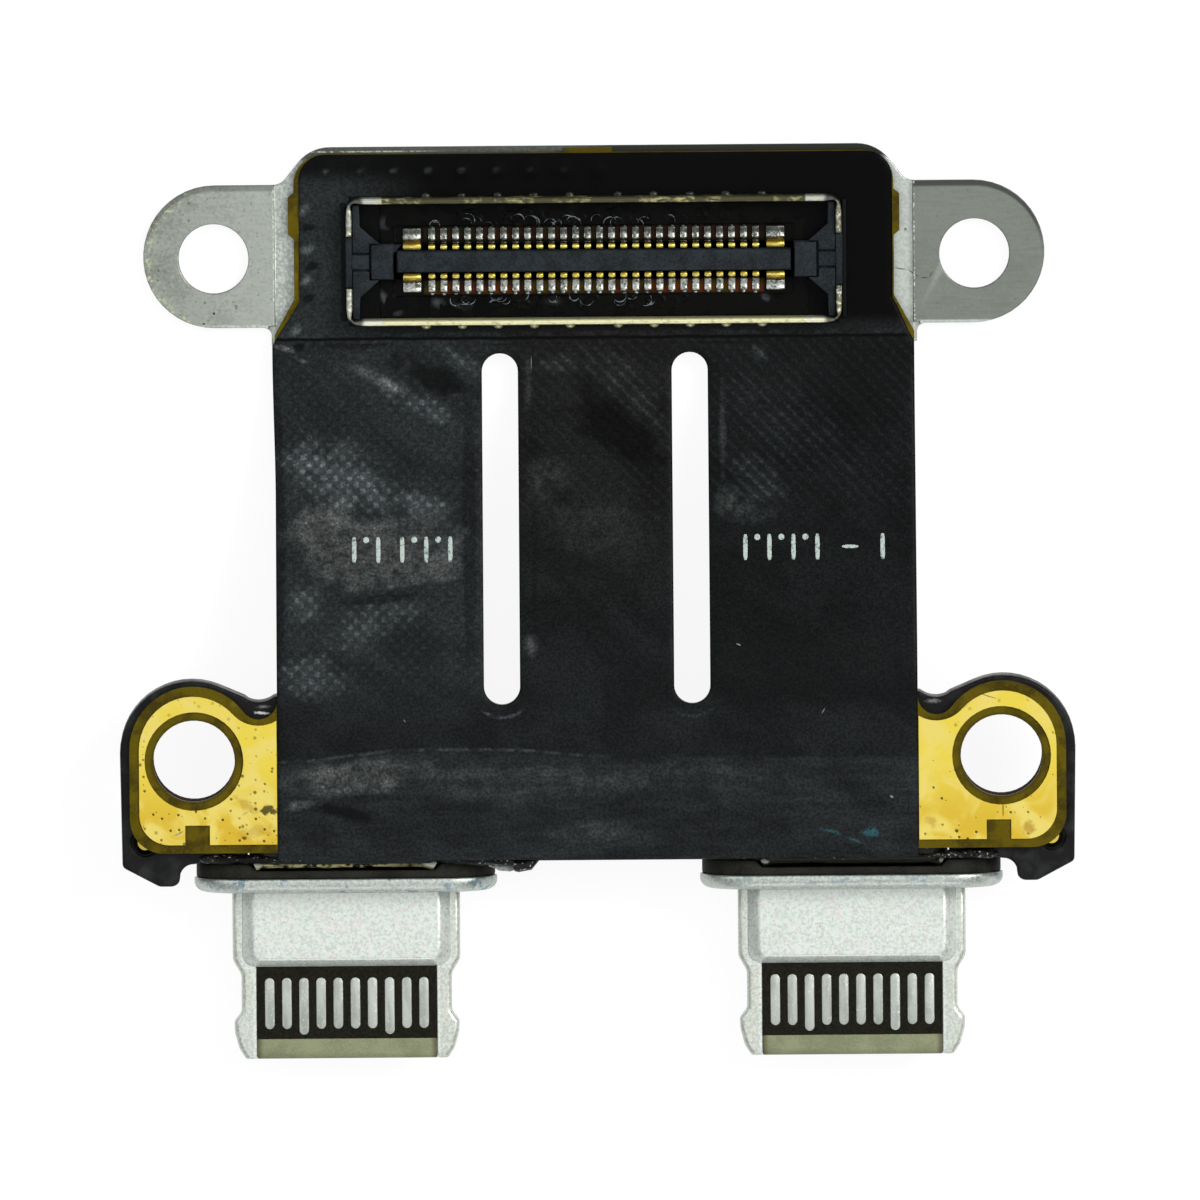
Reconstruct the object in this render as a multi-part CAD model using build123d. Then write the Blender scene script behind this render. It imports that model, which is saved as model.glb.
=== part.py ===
from build123d import *

import os
from math import acos, atan2, cos, hypot, pi, radians, sin, sqrt

# A pair of charging receptacles on a flexible circuit, with a board connector at the far end.
# Lengths are in millimetres. X runs across the ports, +Y points from the ports to the board
# connector, and Z is up from the surface the part rests on. The part is the same on both
# sides of the YZ plane, apart from one small tab on the flex.

# Layers, counted up from the resting surface
SEAT_THICKNESS = 0.24
EAR_THICKNESS = 0.40
FILM = 0.05
CORE = 0.25
FLEX = FILM + CORE + FILM
CARRIER_THICKNESS = 1.30
FIT = 0.02

# Port module across X, from the contacts outwards
PORT_X = 7.375
CONTACT_COUNT = 10
CONTACT_PITCH = 0.50
CONTACT_WIDTH = 0.29
CONTACT_THICKNESS = 0.14
TONGUE_EDGE = 0.37
RAIL_WIDTH = 0.70
RAIL_WAIST = 0.45
RAIL_LOBE = 0.67
RAIL_TIP = 0.33
FLANGE_EDGE = 1.10
SHELL_EDGE = 0.18
SHELL_WALL = 0.20
CONTACT_SPAN = CONTACT_PITCH * (CONTACT_COUNT - 1)
RAIL_INNER = CONTACT_SPAN / 2 + TONGUE_EDGE
FLANGE_WIDTH = 2 * (RAIL_INNER + RAIL_WIDTH + FLANGE_EDGE)
SHELL_WIDTH = 2 * (RAIL_INNER + SHELL_EDGE)
SHELL_INNER = SHELL_WIDTH - 2 * SHELL_WALL
GASKET_STEP = 0.06
GASKET_WIDTH = FLANGE_WIDTH - 2 * GASKET_STEP

# Port module along Z, with the port's middle plane at half the flange's height
FLANGE_HEIGHT = 3.10
FLANGE_PROUD = 0.05
NECK_STEP = 0.30
SHELL_DROP = 0.10
WEB = 0.16
TONGUE_THICKNESS = 0.70
RAIL_THICKNESS = TONGUE_THICKNESS
ROOT_THICKNESS = 1.30
PLATE_THICKNESS = 0.12
PORT_Z = FLANGE_HEIGHT / 2
NECK_HEIGHT = FLANGE_HEIGHT - 2 * NECK_STEP
SHELL_BOTTOM = NECK_STEP - SHELL_DROP
SHELL_TOP = FLANGE_HEIGHT - FLANGE_PROUD
GASKET_HEIGHT = FLANGE_HEIGHT - 0.20

# Port module along Y, from the tip back
TIP_Y = -13.27
NOSE_LENGTH = 0.595
CONTACT_SETBACK = 0.28
LONG_CONTACT_SETBACK = 0.11
CONTACT_END = 2.38
CONTACT_COVER = 0.05
TONGUE_LENGTH = 4.92
PLATE_LENGTH = 2.24
PLATE_SLOPE = 0.25
FLANGE_DEPTH = 0.42
FLANGE_ROUND = 0.30
GASKET_DEPTH = 0.46
GASKET_SHORT = 0.24
SHELL_LENGTH = 3.22
LOBE_END = 0.32
LOBE_LOW = 0.77
LOBE_HIGH = 1.09
WAIST_LOW = 1.37
WAIST_HIGH = 2.48
SHOULDER = 2.91
NOSE_BACK_Y = TIP_Y + NOSE_LENGTH
FLANGE_FRONT_Y = TIP_Y + TONGUE_LENGTH
FLANGE_BACK_Y = FLANGE_FRONT_Y + FLANGE_DEPTH
GASKET_BACK_Y = FLANGE_BACK_Y + GASKET_DEPTH
SHELL_BACK_Y = GASKET_BACK_Y + SHELL_LENGTH
PLATE_FRONT_Y = FLANGE_FRONT_Y - PLATE_LENGTH
PLATE_TOP_FRONT_Y = PLATE_FRONT_Y + PLATE_SLOPE
CONTACT_END_Y = TIP_Y + CONTACT_END

# Carrier that holds the two ports
CARRIER_GAP = 0.03
CARRIER_BAR = 0.30
TAIL_ROOM = 0.90
WINDOW_FIT = 0.05
CARRIER_LUG_RADIUS = 2.10
LUG_TOE = 0.68
TOE_CORNER = 0.11
TOE_WIDTH = 0.60
NOTCH_WIDTH = 0.40
CARRIER_FRONT_Y = GASKET_BACK_Y + CARRIER_GAP
WINDOW_BACK_Y = SHELL_BACK_Y + TAIL_ROOM
CARRIER_REAR_Y = WINDOW_BACK_Y + CARRIER_BAR
CARRIER_TOP = SHELL_TOP

# Lower end of the flex and its screw lugs
LUG_REACH = 1.615
LUG_STEP = 2.46
LUG_LENGTH = 3.01
LUG_SETBACK = 0.31
LUG_RADIUS = 1.85
LUG_HOLLOW = 0.54
LUG_CORNER = 1.00
PAD_EDGE = 0.28
PAD_HOLLOW = 1.00
PAD_MARGIN = 0.25
PAD_NOTCH_WIDTH = 0.72
PAD_NOTCH_DEPTH = 0.57
LOWER_HOLE_RADIUS = 1.19
PAD_RING = 0.25
FLEX_SETBACK = 0.05
LUG_X = PORT_X + SHELL_WIDTH / 2 + LUG_REACH
LUG_LOW_Y = CARRIER_FRONT_Y + LUG_SETBACK
LUG_Y = LUG_LOW_Y + LUG_LENGTH
LOWER_HOLE_X = LUG_X - 0.03
LOWER_HOLE_Y = LUG_Y - 0.32
FLEX_HALF_WIDTH = LUG_X - LUG_STEP
FLEX_LOW_Y = CARRIER_FRONT_Y + FLEX_SETBACK
CARRIER_LUG_X = LUG_X + 0.03
CARRIER_LUG_Y = LUG_Y - 0.10
STUD_RADIUS = 0.22
STUD_LENGTH = 0.60
STUD_RECESS = 0.38
STUD_X = LUG_X + LUG_RADIUS - 0.44
STUD_Y = LUG_LOW_Y + 0.31

# Bend of the flex
BEND_SETBACK = 0.55
BEND_RUN = 9.70
BEND_RADIUS = 5.00
SLOT_X = 2.77
SLOT_WIDTH = 1.05
BEND_LOW_Y = CARRIER_REAR_Y + BEND_SETBACK
BEND_TOP_Y = BEND_LOW_Y + BEND_RUN
SLOT_LOW_Y = CARRIER_REAR_Y + 0.19
SLOT_TOP_Y = BEND_TOP_Y + 0.03

# Upper bracket and the head of the flex
BRACKET_DEPTH = 5.79
BRACKET_SETBACK = 0.28
HEAD_STEP = 0.58
HEAD_SETBACK = 0.18
HEAD_CORNER = 0.90
SHOULDER_LOW = 0.32
SHOULDER_HIGH = 1.37
FILM_EDGE = 0.15
EAR_REACH = 1.74
EAR_RADIUS = 2.08
UPPER_HOLE_RADIUS = 1.02
BRACKET_CORNER_X = 1.06
BRACKET_KNEE_X = 0.20
BRACKET_LOW_Y = BEND_TOP_Y + BRACKET_SETBACK
BRACKET_TOP_Y = BRACKET_LOW_Y + BRACKET_DEPTH
FLEX_TOP_Y = BRACKET_TOP_Y - HEAD_SETBACK
FLEX_HEAD_HALF_WIDTH = FLEX_HALF_WIDTH - HEAD_STEP
EAR_X = FLEX_HALF_WIDTH + EAR_REACH
EAR_Y = BRACKET_TOP_Y - BRACKET_DEPTH / 2 - 0.275
UPPER_HOLE_X = EAR_X + 0.03
UPPER_HOLE_Y = EAR_Y - 0.06

# Board connector, from its contacts outwards
BOARD_OFFSET = 0.15
SIGNAL_COUNT = 28
SIGNAL_PITCH = 0.35
SIGNAL_WIDTH = 0.19
POWER_STEP = 0.575
POWER_WIDTH = 0.52
TAIL_REACH = 0.46
TAIL_THICKNESS = 0.12
TIP_GAP = 0.04
TIP_THICKNESS = 0.16
TIP_HEIGHT = 0.42
RIDGE_WIDTH = 0.60
RIDGE_END = 0.435
HOUSING_HEIGHT = 0.50
COMB_HEIGHT = 0.26
COMB_EDGE = 0.02
BLOCK_GAP = 0.125
BLOCK_LENGTH = 0.63
BLOCK_WIDTH = 1.00
END_GROOVE = 0.06
LINK_WIDTH = 0.42
END_PLATE_LENGTH = 0.735
FLARE_WIDTH = 0.195
FLARE_DROP = 0.50
HOUSING_LIP = 0.12
LIP_HEIGHT = 0.12
LIP_MARGIN = 0.14
SHIELD_WIDTH = 3.72
SHIELD_WALL = 0.17
SHIELD_HEIGHT = 0.65
SHIELD_CORNER = 0.30
SHIELD_GAP = 0.77
FOOT_COUNT = 5
FOOT_FIRST = 0.70
FOOT_PITCH = 1.05
FOOT_WIDTH = 0.23
FOOT_REACH = 0.15
FOOT_THICKNESS = 0.14
SOLDER_MARGIN = 0.06
BOARD_Y = EAR_Y - BOARD_OFFSET
POWER_X = SIGNAL_PITCH * (SIGNAL_COUNT - 1) / 2 + POWER_STEP
RIDGE_HALF = POWER_X + RIDGE_END
BLOCK_START = RIDGE_HALF + BLOCK_GAP
BLOCK_END = BLOCK_START + BLOCK_LENGTH
SHIELD_LENGTH = 2 * (BLOCK_END + END_PLATE_LENGTH)
TIP_INNER = RIDGE_WIDTH / 2 + TIP_GAP
TIP_OUTER = TIP_INNER + TIP_THICKNESS
TAIL_END = TIP_OUTER + TAIL_REACH
WINDOW_HALF_LENGTH = POWER_X + POWER_WIDTH / 2 + 4.5 * SOLDER_MARGIN
WINDOW_HALF_WIDTH = TAIL_END + SOLDER_MARGIN

FAR = 30.0
FLEX_UNDER_HEAD = SEAT_THICKNESS
HEAD_TOP = FLEX_UNDER_HEAD + FLEX
HEAD_CORE_TOP = FLEX_UNDER_HEAD + FILM + CORE


def prism(face, low, high):
    """A straight wall on a face of the ground plane, between two heights."""
    return Pos(0, 0, low) * extrude(face, high - low)


def block(x0, x1, y0, y1, z0, z1):
    """A box between two corners."""
    size = Box(x1 - x0, y1 - y0, z1 - z0)
    return Pos((x0 + x1) / 2, (y0 + y1) / 2, (z0 + z1) / 2) * size


def both_sides(face):
    """A face together with its mirror image across the YZ plane."""
    return face + mirror(face, about=Plane.YZ)


def point_on(centre, radius, angle):
    """A point on a circle, with the angle in radians from +X."""
    return (centre[0] + radius * cos(angle), centre[1] + radius * sin(angle))


def arc_on(centre, radius, start, end):
    """An arc of a circle between two angles."""
    middle = (start + end) / 2
    ends = [point_on(centre, radius, angle) for angle in (start, middle, end)]
    return ThreePointArc(*ends)


def bend_line(height):
    """The flex seen from the side at a height above its underside: level, down one arc,
    a straight slope, back level by a second arc."""
    run = BEND_TOP_Y - BEND_LOW_Y
    spare = 2 * BEND_RADIUS - (CARRIER_TOP - FLEX_UNDER_HEAD)
    turn = atan2(run, spare) - acos(2 * BEND_RADIUS / hypot(run, spare))
    above = (BEND_TOP_Y, FLEX_UNDER_HEAD + BEND_RADIUS)
    below = (BEND_LOW_Y, CARRIER_TOP - BEND_RADIUS)
    first = arc_on(above, BEND_RADIUS - height, -pi / 2, -pi / 2 - turn)
    second = arc_on(below, BEND_RADIUS + height, pi / 2 - turn, pi / 2)
    return [
        Line((FAR, FLEX_UNDER_HEAD + height), first @ 0),
        first,
        Line(first @ 1, second @ 0),
        second,
        Line(second @ 1, (-FAR, CARRIER_TOP + height)),
    ]


def ribbon(low, high):
    """A layer of the flex between two heights above its underside, wider than the part."""
    lower = bend_line(low)
    upper = bend_line(high)
    ends = [Line(lower[0] @ 0, upper[0] @ 0), Line(lower[-1] @ 1, upper[-1] @ 1)]
    side = make_face(lower + upper + ends)
    return extrude(Plane.YZ * side, FAR, both=True)


def lug_face(radius, hollow, start_x, low_y, corner):
    """A screw lug seen from above on the right: round over the screw, straight on the
    outside, and hollow where it runs into the edge of the flex."""
    centre = (LUG_X, LUG_Y)
    hollow_x = FLEX_HALF_WIDTH + LUG_HOLLOW
    rise = sqrt((radius + hollow) ** 2 - (LUG_X - hollow_x) ** 2)
    dip = (hollow_x, LUG_Y + rise)
    start = -acos(max(-1.0, (start_x - hollow_x) / hollow))
    meet = atan2(-rise, LUG_X - hollow_x)
    outer_x = LUG_X + radius
    turn = (outer_x - corner, low_y + corner)
    dip_arc = arc_on(dip, hollow, start, meet)
    lug_arc = arc_on(centre, radius, meet + pi, 0)
    corner_arc = arc_on(turn, corner, 0, -pi / 2)
    return make_face(
        [
            dip_arc,
            lug_arc,
            Line(lug_arc @ 1, corner_arc @ 0),
            corner_arc,
            Line(corner_arc @ 1, (start_x, low_y)),
            Line((start_x, low_y), dip_arc @ 0),
        ]
    )


def flex_head_face(inset, low_y):
    """The upper end of the flex seen from above, drawn in from its edge by an inset."""
    wide = FLEX_HEAD_HALF_WIDTH - inset
    top = FLEX_TOP_Y - inset
    shoulder = (FLEX_HALF_WIDTH, BRACKET_LOW_Y + SHOULDER_LOW - 2 * inset)
    neck = (wide, BRACKET_LOW_Y + SHOULDER_HIGH - inset / 2)
    points = [(0, low_y), (FLEX_HALF_WIDTH, low_y), shoulder, neck]
    points += [(wide, top), (0, top)]
    face = make_face(Polyline(*points, close=True))
    corner = face.vertices().group_by(Axis.Y)[-1].sort_by(Axis.X)[-1]
    return fillet(corner, HEAD_CORNER - inset)


def slots():
    """The two long relief slots, which let the flex bend."""
    length = SLOT_TOP_Y - SLOT_LOW_Y
    middle = (SLOT_TOP_Y + SLOT_LOW_Y) / 2
    slot = Rot(0, 0, 90) * SlotOverall(length, SLOT_WIDTH)
    return [Pos(side * SLOT_X, middle) * slot for side in (-1, 1)]


def lower_holes():
    """The two screw holes in the lugs, seen from above."""
    return [Pos(side * LOWER_HOLE_X, LOWER_HOLE_Y) * Circle(LOWER_HOLE_RADIUS) for side in (-1, 1)]


def flex_core_face():
    """The olive base layer seen from above."""
    half = flex_head_face(0, FLEX_LOW_Y)
    head = FLEX_HEAD_HALF_WIDTH
    low, high = EAR_Y + 0.50, EAR_Y + 1.85
    tab_points = [(head - 0.25, low), (head, low), (head + 0.17, low + 0.15)]
    tab_points += [(head + 0.17, high - 0.13), (head, high), (head - 0.25, high)]
    half += make_face(Polyline(*tab_points, close=True))
    half += lug_face(LUG_RADIUS, LUG_HOLLOW, FLEX_HALF_WIDTH, LUG_LOW_Y, LUG_CORNER)
    whole = both_sides(half)
    whole += Pos(-0.135, FLEX_TOP_Y) * Rectangle(1.39, 0.28)
    return whole - slots() - lower_holes()


def flex_core():
    """The olive base layer of the flex."""
    return ribbon(FILM, FILM + CORE) & prism(flex_core_face(), -1, 6)


def flex_bottom_film():
    """The black cover film under the flex, as large as the base layer."""
    return ribbon(0, FILM) & prism(flex_core_face(), -1, 6)


def flex_top_film():
    """The black cover film on top: drawn in a little at the head, open over the solder row
    of the board connector, and ending where the lug pads begin."""
    half = flex_head_face(FILM_EDGE, FLEX_LOW_Y)
    opening = Rectangle(2 * WINDOW_HALF_LENGTH, 2 * WINDOW_HALF_WIDTH)
    whole = both_sides(half) - slots() - Pos(0, BOARD_Y) * opening
    return ribbon(FILM + CORE, FLEX) & prism(whole, -1, 6)


def lug_pad(side):
    """The gold ground pad round a screw hole, with a notch in its front edge."""
    edge = FLEX_HALF_WIDTH + FIT
    radius = LUG_RADIUS - PAD_EDGE
    low_y = LUG_LOW_Y + PAD_MARGIN
    face = lug_face(radius, PAD_HOLLOW, edge, low_y, LUG_CORNER - 0.12)
    face -= Pos(LOWER_HOLE_X, LOWER_HOLE_Y) * Circle(LOWER_HOLE_RADIUS + PAD_RING)
    face -= Pos(LOWER_HOLE_X - 0.09, low_y) * Rectangle(PAD_NOTCH_WIDTH, 2 * PAD_NOTCH_DEPTH)
    if side < 0:
        face = mirror(face, about=Plane.YZ)
    level = CARRIER_TOP + FILM + CORE
    return prism(face, level, level + FILM)


def upper_bracket():
    """The steel bracket under the board connector: two screw ears at full thickness and a
    thinner seat for the flex between them."""
    foot_x = FLEX_HALF_WIDTH + 0.09
    low, high = EAR_Y - EAR_RADIUS, EAR_Y + EAR_RADIUS
    knee = (FLEX_HALF_WIDTH - BRACKET_KNEE_X, high)
    corner = (FLEX_HALF_WIDTH - BRACKET_CORNER_X, BRACKET_TOP_Y)
    points = [(0, BRACKET_LOW_Y), (foot_x, BRACKET_LOW_Y), (foot_x, low), (EAR_X, low)]
    points += [(EAR_X, high), knee, corner, (0, BRACKET_TOP_Y)]
    half = make_face(Polyline(*points, close=True))
    half = fillet(half.vertices().sort_by_distance(corner)[0], 1.20)
    half = fillet(half.vertices().sort_by_distance(knee)[0], 0.45)
    half = fillet(half.vertices().sort_by_distance((foot_x, low))[0], 0.25)
    half += Pos(EAR_X, EAR_Y) * Circle(EAR_RADIUS)
    half -= Pos(UPPER_HOLE_X, UPPER_HOLE_Y) * Circle(UPPER_HOLE_RADIUS)
    plate = prism(both_sides(half), 0, EAR_THICKNESS)
    seat_x = FLEX_HALF_WIDTH - 0.01
    seat = block(-seat_x, seat_x, 0, FAR, SEAT_THICKNESS, 1)
    # The lowest corner of the flex is wider than the seat, so the seat is widened there.
    wide_x = foot_x + 0.08
    return plate - seat - block(-wide_x, wide_x, 0, low + 0.05, SEAT_THICKNESS, 1)


def carrier_face():
    """The carrier seen from above: a bar behind the ports, blocks between and outside them,
    and a lug with a cut corner and a round notch on each side."""
    centre = (CARRIER_LUG_X, CARRIER_LUG_Y)
    edge = FLEX_HALF_WIDTH
    side_x = CARRIER_LUG_X + CARRIER_LUG_RADIUS
    lean = radians(113)
    shoulder = point_on(centre, CARRIER_LUG_RADIUS, lean)
    run = (shoulder[0] - edge - 0.95) / sin(lean)
    knee_y = shoulder[1] + run * cos(lean)
    lug_arc = arc_on(centre, CARRIER_LUG_RADIUS, 0, lean)
    dip = [(edge + 0.83, knee_y - 0.09), (edge + 0.45, knee_y - 0.147), (edge + 0.04, knee_y + 0.053)]
    dip_arc = ThreePointArc(*dip)
    under = [(edge - 0.13, knee_y - 0.067), (edge - 0.53, CARRIER_REAR_Y), (0, CARRIER_REAR_Y)]
    notch_x = PORT_X + FLANGE_WIDTH / 2
    front = CARRIER_FRONT_Y
    toe_x = notch_x + NOTCH_WIDTH
    toe_y = front - LUG_TOE
    notch = [(toe_x, front - 0.36), (toe_x - 0.13, front - 0.13), (notch_x, front - 0.03)]
    notch_arc = ThreePointArc(*notch)
    corners = [(side_x - 0.05, front - TOE_CORNER), (toe_x + TOE_WIDTH, toe_y)]
    toe = [(toe_x + 0.16, toe_y), (toe_x + 0.01, toe_y + 0.13), notch_arc @ 0]
    half = make_face(
        [
            lug_arc,
            Polyline(lug_arc @ 1, (edge + 0.95, knee_y), dip_arc @ 0),
            dip_arc,
            Polyline(dip_arc @ 1, *under, (0, front), (notch_x - 0.20, front), notch_arc @ 1),
            notch_arc,
            Polyline(lug_arc @ 0, *corners, *toe),
        ]
    )
    for spot, radius in zip(corners, (0.18, 0.30)):
        half = fillet(half.vertices().sort_by_distance(spot)[0], radius)
    window_depth = 2 * (WINDOW_BACK_Y - CARRIER_FRONT_Y)
    window = Rectangle(SHELL_WIDTH + 2 * WINDOW_FIT, window_depth)
    half -= Pos(PORT_X, CARRIER_FRONT_Y) * window
    return both_sides(half) - lower_holes()


def carrier_frame():
    """The black carrier under the flex, with a shallow ring round each ground stud."""
    low = CARRIER_TOP - CARRIER_THICKNESS
    frame = prism(carrier_face(), low, CARRIER_TOP)
    for side in (-1, 1):
        spot = Pos(side * STUD_X, STUD_Y)
        frame -= prism(spot * Circle(STUD_RADIUS), CARRIER_TOP - STUD_LENGTH, CARRIER_TOP + 1)
        frame -= prism(spot * Circle(STUD_RECESS), CARRIER_TOP - 0.10, CARRIER_TOP + 1)
    return frame


def ground_stud(side):
    """A small gold stud in the carrier, just outside the corner of the flex."""
    face = Pos(side * STUD_X, STUD_Y) * Circle(STUD_RADIUS)
    return prism(face, CARRIER_TOP - STUD_LENGTH, CARRIER_TOP)


def stadium(width, height):
    """A port outline in the XZ plane: straight on top and below, round at the ends."""
    return Plane.XZ * SlotOverall(width, height)


def lying(face, front_y, back_y):
    """A wall on a face of the XZ plane, running from a front to a back position."""
    return Pos(0, back_y, 0) * extrude(face, back_y - front_y)


def port_shell():
    """The metal box behind the flange, open at both ends, with a lower neck in front."""
    step_y = GASKET_BACK_Y - 0.02
    box_height = SHELL_TOP - SHELL_BOTTOM
    box_z = (SHELL_TOP + SHELL_BOTTOM) / 2 - PORT_Z
    inner = SHELL_INNER
    neck_inner = NECK_HEIGHT - 2 * SHELL_WALL
    neck_face = RectangleRounded(SHELL_WIDTH, NECK_HEIGHT, 0.45)
    neck_face -= RectangleRounded(inner, neck_inner, 0.30)
    box_face = Pos(0, box_z) * RectangleRounded(SHELL_WIDTH, box_height, 0.45)
    box_face -= Pos(0, box_z) * RectangleRounded(inner, box_height - 2 * SHELL_WALL, 0.30)
    step_face = Pos(0, box_z) * RectangleRounded(SHELL_WIDTH, box_height, 0.45)
    step_face -= RectangleRounded(inner, neck_inner, 0.30)
    shell = lying(Plane.XZ * neck_face, FLANGE_BACK_Y, step_y)
    shell += lying(Plane.XZ * step_face, step_y, step_y + SHELL_WALL)
    return shell + lying(Plane.XZ * box_face, step_y + SHELL_WALL, SHELL_BACK_Y)


def flange_opening():
    """The hole through the flange that the root of the tongue fills, in the XZ plane."""
    return Plane.XZ * Rectangle(SHELL_INNER, ROOT_THICKNESS)


def port_flange():
    """The metal flange that closes the opening of the case round the tongue."""
    flange = lying(stadium(FLANGE_WIDTH, FLANGE_HEIGHT), FLANGE_FRONT_Y, FLANGE_BACK_Y)
    front = flange.faces().sort_by(Axis.Y)[0]
    flange = fillet(front.edges(), FLANGE_ROUND)
    return flange - lying(flange_opening(), FLANGE_FRONT_Y - 1, FLANGE_BACK_Y + 1)


def port_gasket():
    """The rubber ring behind the flange, shorter above and below the shell, with slanted
    ends to the short stretch."""
    ring = lying(stadium(GASKET_WIDTH, GASKET_HEIGHT), FLANGE_BACK_Y, GASKET_BACK_Y)
    neck = Rectangle(SHELL_WIDTH + 2 * FIT, NECK_HEIGHT + 2 * FIT)
    ring -= lying(Plane.XZ * neck, FLANGE_BACK_Y - 1, GASKET_BACK_Y + 1)
    short_y = FLANGE_BACK_Y + GASKET_SHORT
    half = SHELL_WIDTH / 2
    points = [(-half + 0.18, short_y), (half - 0.18, short_y), (half + 0.10, GASKET_BACK_Y + 0.1)]
    notch = make_face(Polyline(*points, (-half - 0.10, GASKET_BACK_Y + 0.1), close=True))
    return ring - prism(notch, -FAR, FAR)


def rail_outline():
    """The outer edge of the right rail of the tongue, from the flange to the tip."""
    wide = RAIL_INNER + RAIL_WIDTH
    waist = RAIL_INNER + RAIL_WAIST
    lobe = RAIL_INNER + RAIL_LOBE
    shoulder = (wide, TIP_Y + SHOULDER)
    waist_high = (waist, TIP_Y + WAIST_HIGH)
    waist_low = (waist, TIP_Y + WAIST_LOW)
    lobe_high = (lobe, TIP_Y + LOBE_HIGH)
    lobe_low = (lobe - 0.02, TIP_Y + LOBE_LOW)
    lobe_end = (lobe - 0.14, TIP_Y + LOBE_END)
    tip = (RAIL_INNER + RAIL_TIP, TIP_Y)
    points = [(RAIL_INNER, FLANGE_FRONT_Y), (wide, FLANGE_FRONT_Y), shoulder, waist_high]
    points += [waist_low, lobe_high, lobe_low, lobe_end, tip, (RAIL_INNER, TIP_Y)]
    face = make_face(Polyline(*points, close=True))
    rounds = ((shoulder, 0.40), (waist_high, 0.40), (waist_low, 0.30), (lobe_high, 0.18))
    rounds += ((lobe_low, 0.50), (lobe_end, 0.50), (tip, 0.15))
    for spot, radius in rounds:
        face = fillet(face.vertices().sort_by_distance(spot)[0], radius)
    return face


def port_ground_frame():
    """The metal middle plate of the tongue: a thin web between two thicker side rails, and a
    narrower stretch of both through the flange and the shell."""
    inside = SHELL_INNER / 2 - 5 * FIT
    rails = prism(both_sides(rail_outline()), -RAIL_THICKNESS / 2, RAIL_THICKNESS / 2)
    tip = rails.faces().sort_by(Axis.Y)[:2]
    rails = chamfer([edge for end in tip for edge in end.edges() | Axis.X], 0.10)
    back_y = SHELL_BACK_Y - 0.30
    web = block(-RAIL_INNER, RAIL_INNER, NOSE_BACK_Y, FLANGE_FRONT_Y, -WEB / 2, WEB / 2)
    web += block(-inside, inside, FLANGE_FRONT_Y, back_y, -WEB / 2, WEB / 2)
    return rails + web


def contact_spots():
    """The middle of each contact across the tongue, and whether it's one of the long ones."""
    first = -CONTACT_SPAN / 2
    return [(first + n * CONTACT_PITCH, n in (2, CONTACT_COUNT - 3)) for n in range(CONTACT_COUNT)]


def contact_strip(x, is_long, tail_y):
    """One contact of the upper row: a flat strip with round ends, set into the tongue, and the
    lead that carries it back through the shell just below the tongue's surface."""
    front = NOSE_BACK_Y + (LONG_CONTACT_SETBACK if is_long else CONTACT_SETBACK)
    top = TONGUE_THICKNESS / 2
    low = top - CONTACT_THICKNESS
    half = CONTACT_WIDTH / 2
    end = CONTACT_END_Y - half
    strip = block(x - half, x + half, front + half, end, low, top)
    for y in (front + half, end):
        strip += prism(Pos(x, y) * Circle(half), low, top)
    return strip + block(x - half, x + half, end, tail_y, low, top - CONTACT_COVER)


def contact_tail(x, tail_y, low):
    """The riser and the foot at the back end of a contact, up to the underside of the flex."""
    half = CONTACT_WIDTH / 2 - 0.03
    high = CARRIER_TOP - PORT_Z
    riser = block(x - half, x + half, tail_y - 0.12, tail_y, low, high)
    return riser + block(x - half, x + half, tail_y, tail_y + 0.22, high - 0.12, high)


def upper_contacts():
    """The upper row of contacts."""
    low = TONGUE_THICKNESS / 2 - CONTACT_THICKNESS
    tail_y = SHELL_BACK_Y + 0.18
    return [contact_strip(x, far, tail_y) + contact_tail(x, tail_y, low) for x, far in contact_spots()]


def lower_contacts():
    """The lower row: the same strips turned over, with their tails further back."""
    low = -TONGUE_THICKNESS / 2
    tail_y = SHELL_BACK_Y + 0.58
    row = []
    for x, far in contact_spots():
        strip = mirror(contact_strip(x, far, tail_y), about=Plane.XY)
        row.append(strip + contact_tail(x, tail_y, low))
    return row


def plate_solid(inset):
    """The raised shape of a ground plate above the rails, drawn in by an inset: a flat top
    with slanted sides and front."""
    base_z = RAIL_THICKNESS / 2
    top_z = ROOT_THICKNESS / 2 - inset
    back = FLANGE_FRONT_Y
    base_half = RAIL_INNER + RAIL_WAIST - inset
    top_half = RAIL_INNER + 0.08 - inset
    base_front = PLATE_FRONT_Y + inset
    top_front = PLATE_TOP_FRONT_Y + inset

    def outline(half, front, corner):
        middle = (back + 1 + front) / 2
        face = Pos(0, middle) * Rectangle(2 * half, back + 1 - front)
        return fillet(face.vertices().group_by(Axis.Y)[0], corner)

    bottom = Pos(0, 0, base_z) * outline(base_half, base_front, 0.43 - inset)
    top = Pos(0, 0, top_z) * outline(top_half, top_front, 0.22 - inset)
    solid = loft([bottom.face(), top.face()])
    return solid - block(-FAR, FAR, back, FAR, -FAR, FAR)


def ground_plate():
    """The upper ground plate: a tray turned over, open at the back and below."""
    return plate_solid(0) - plate_solid(PLATE_THICKNESS)


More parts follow.
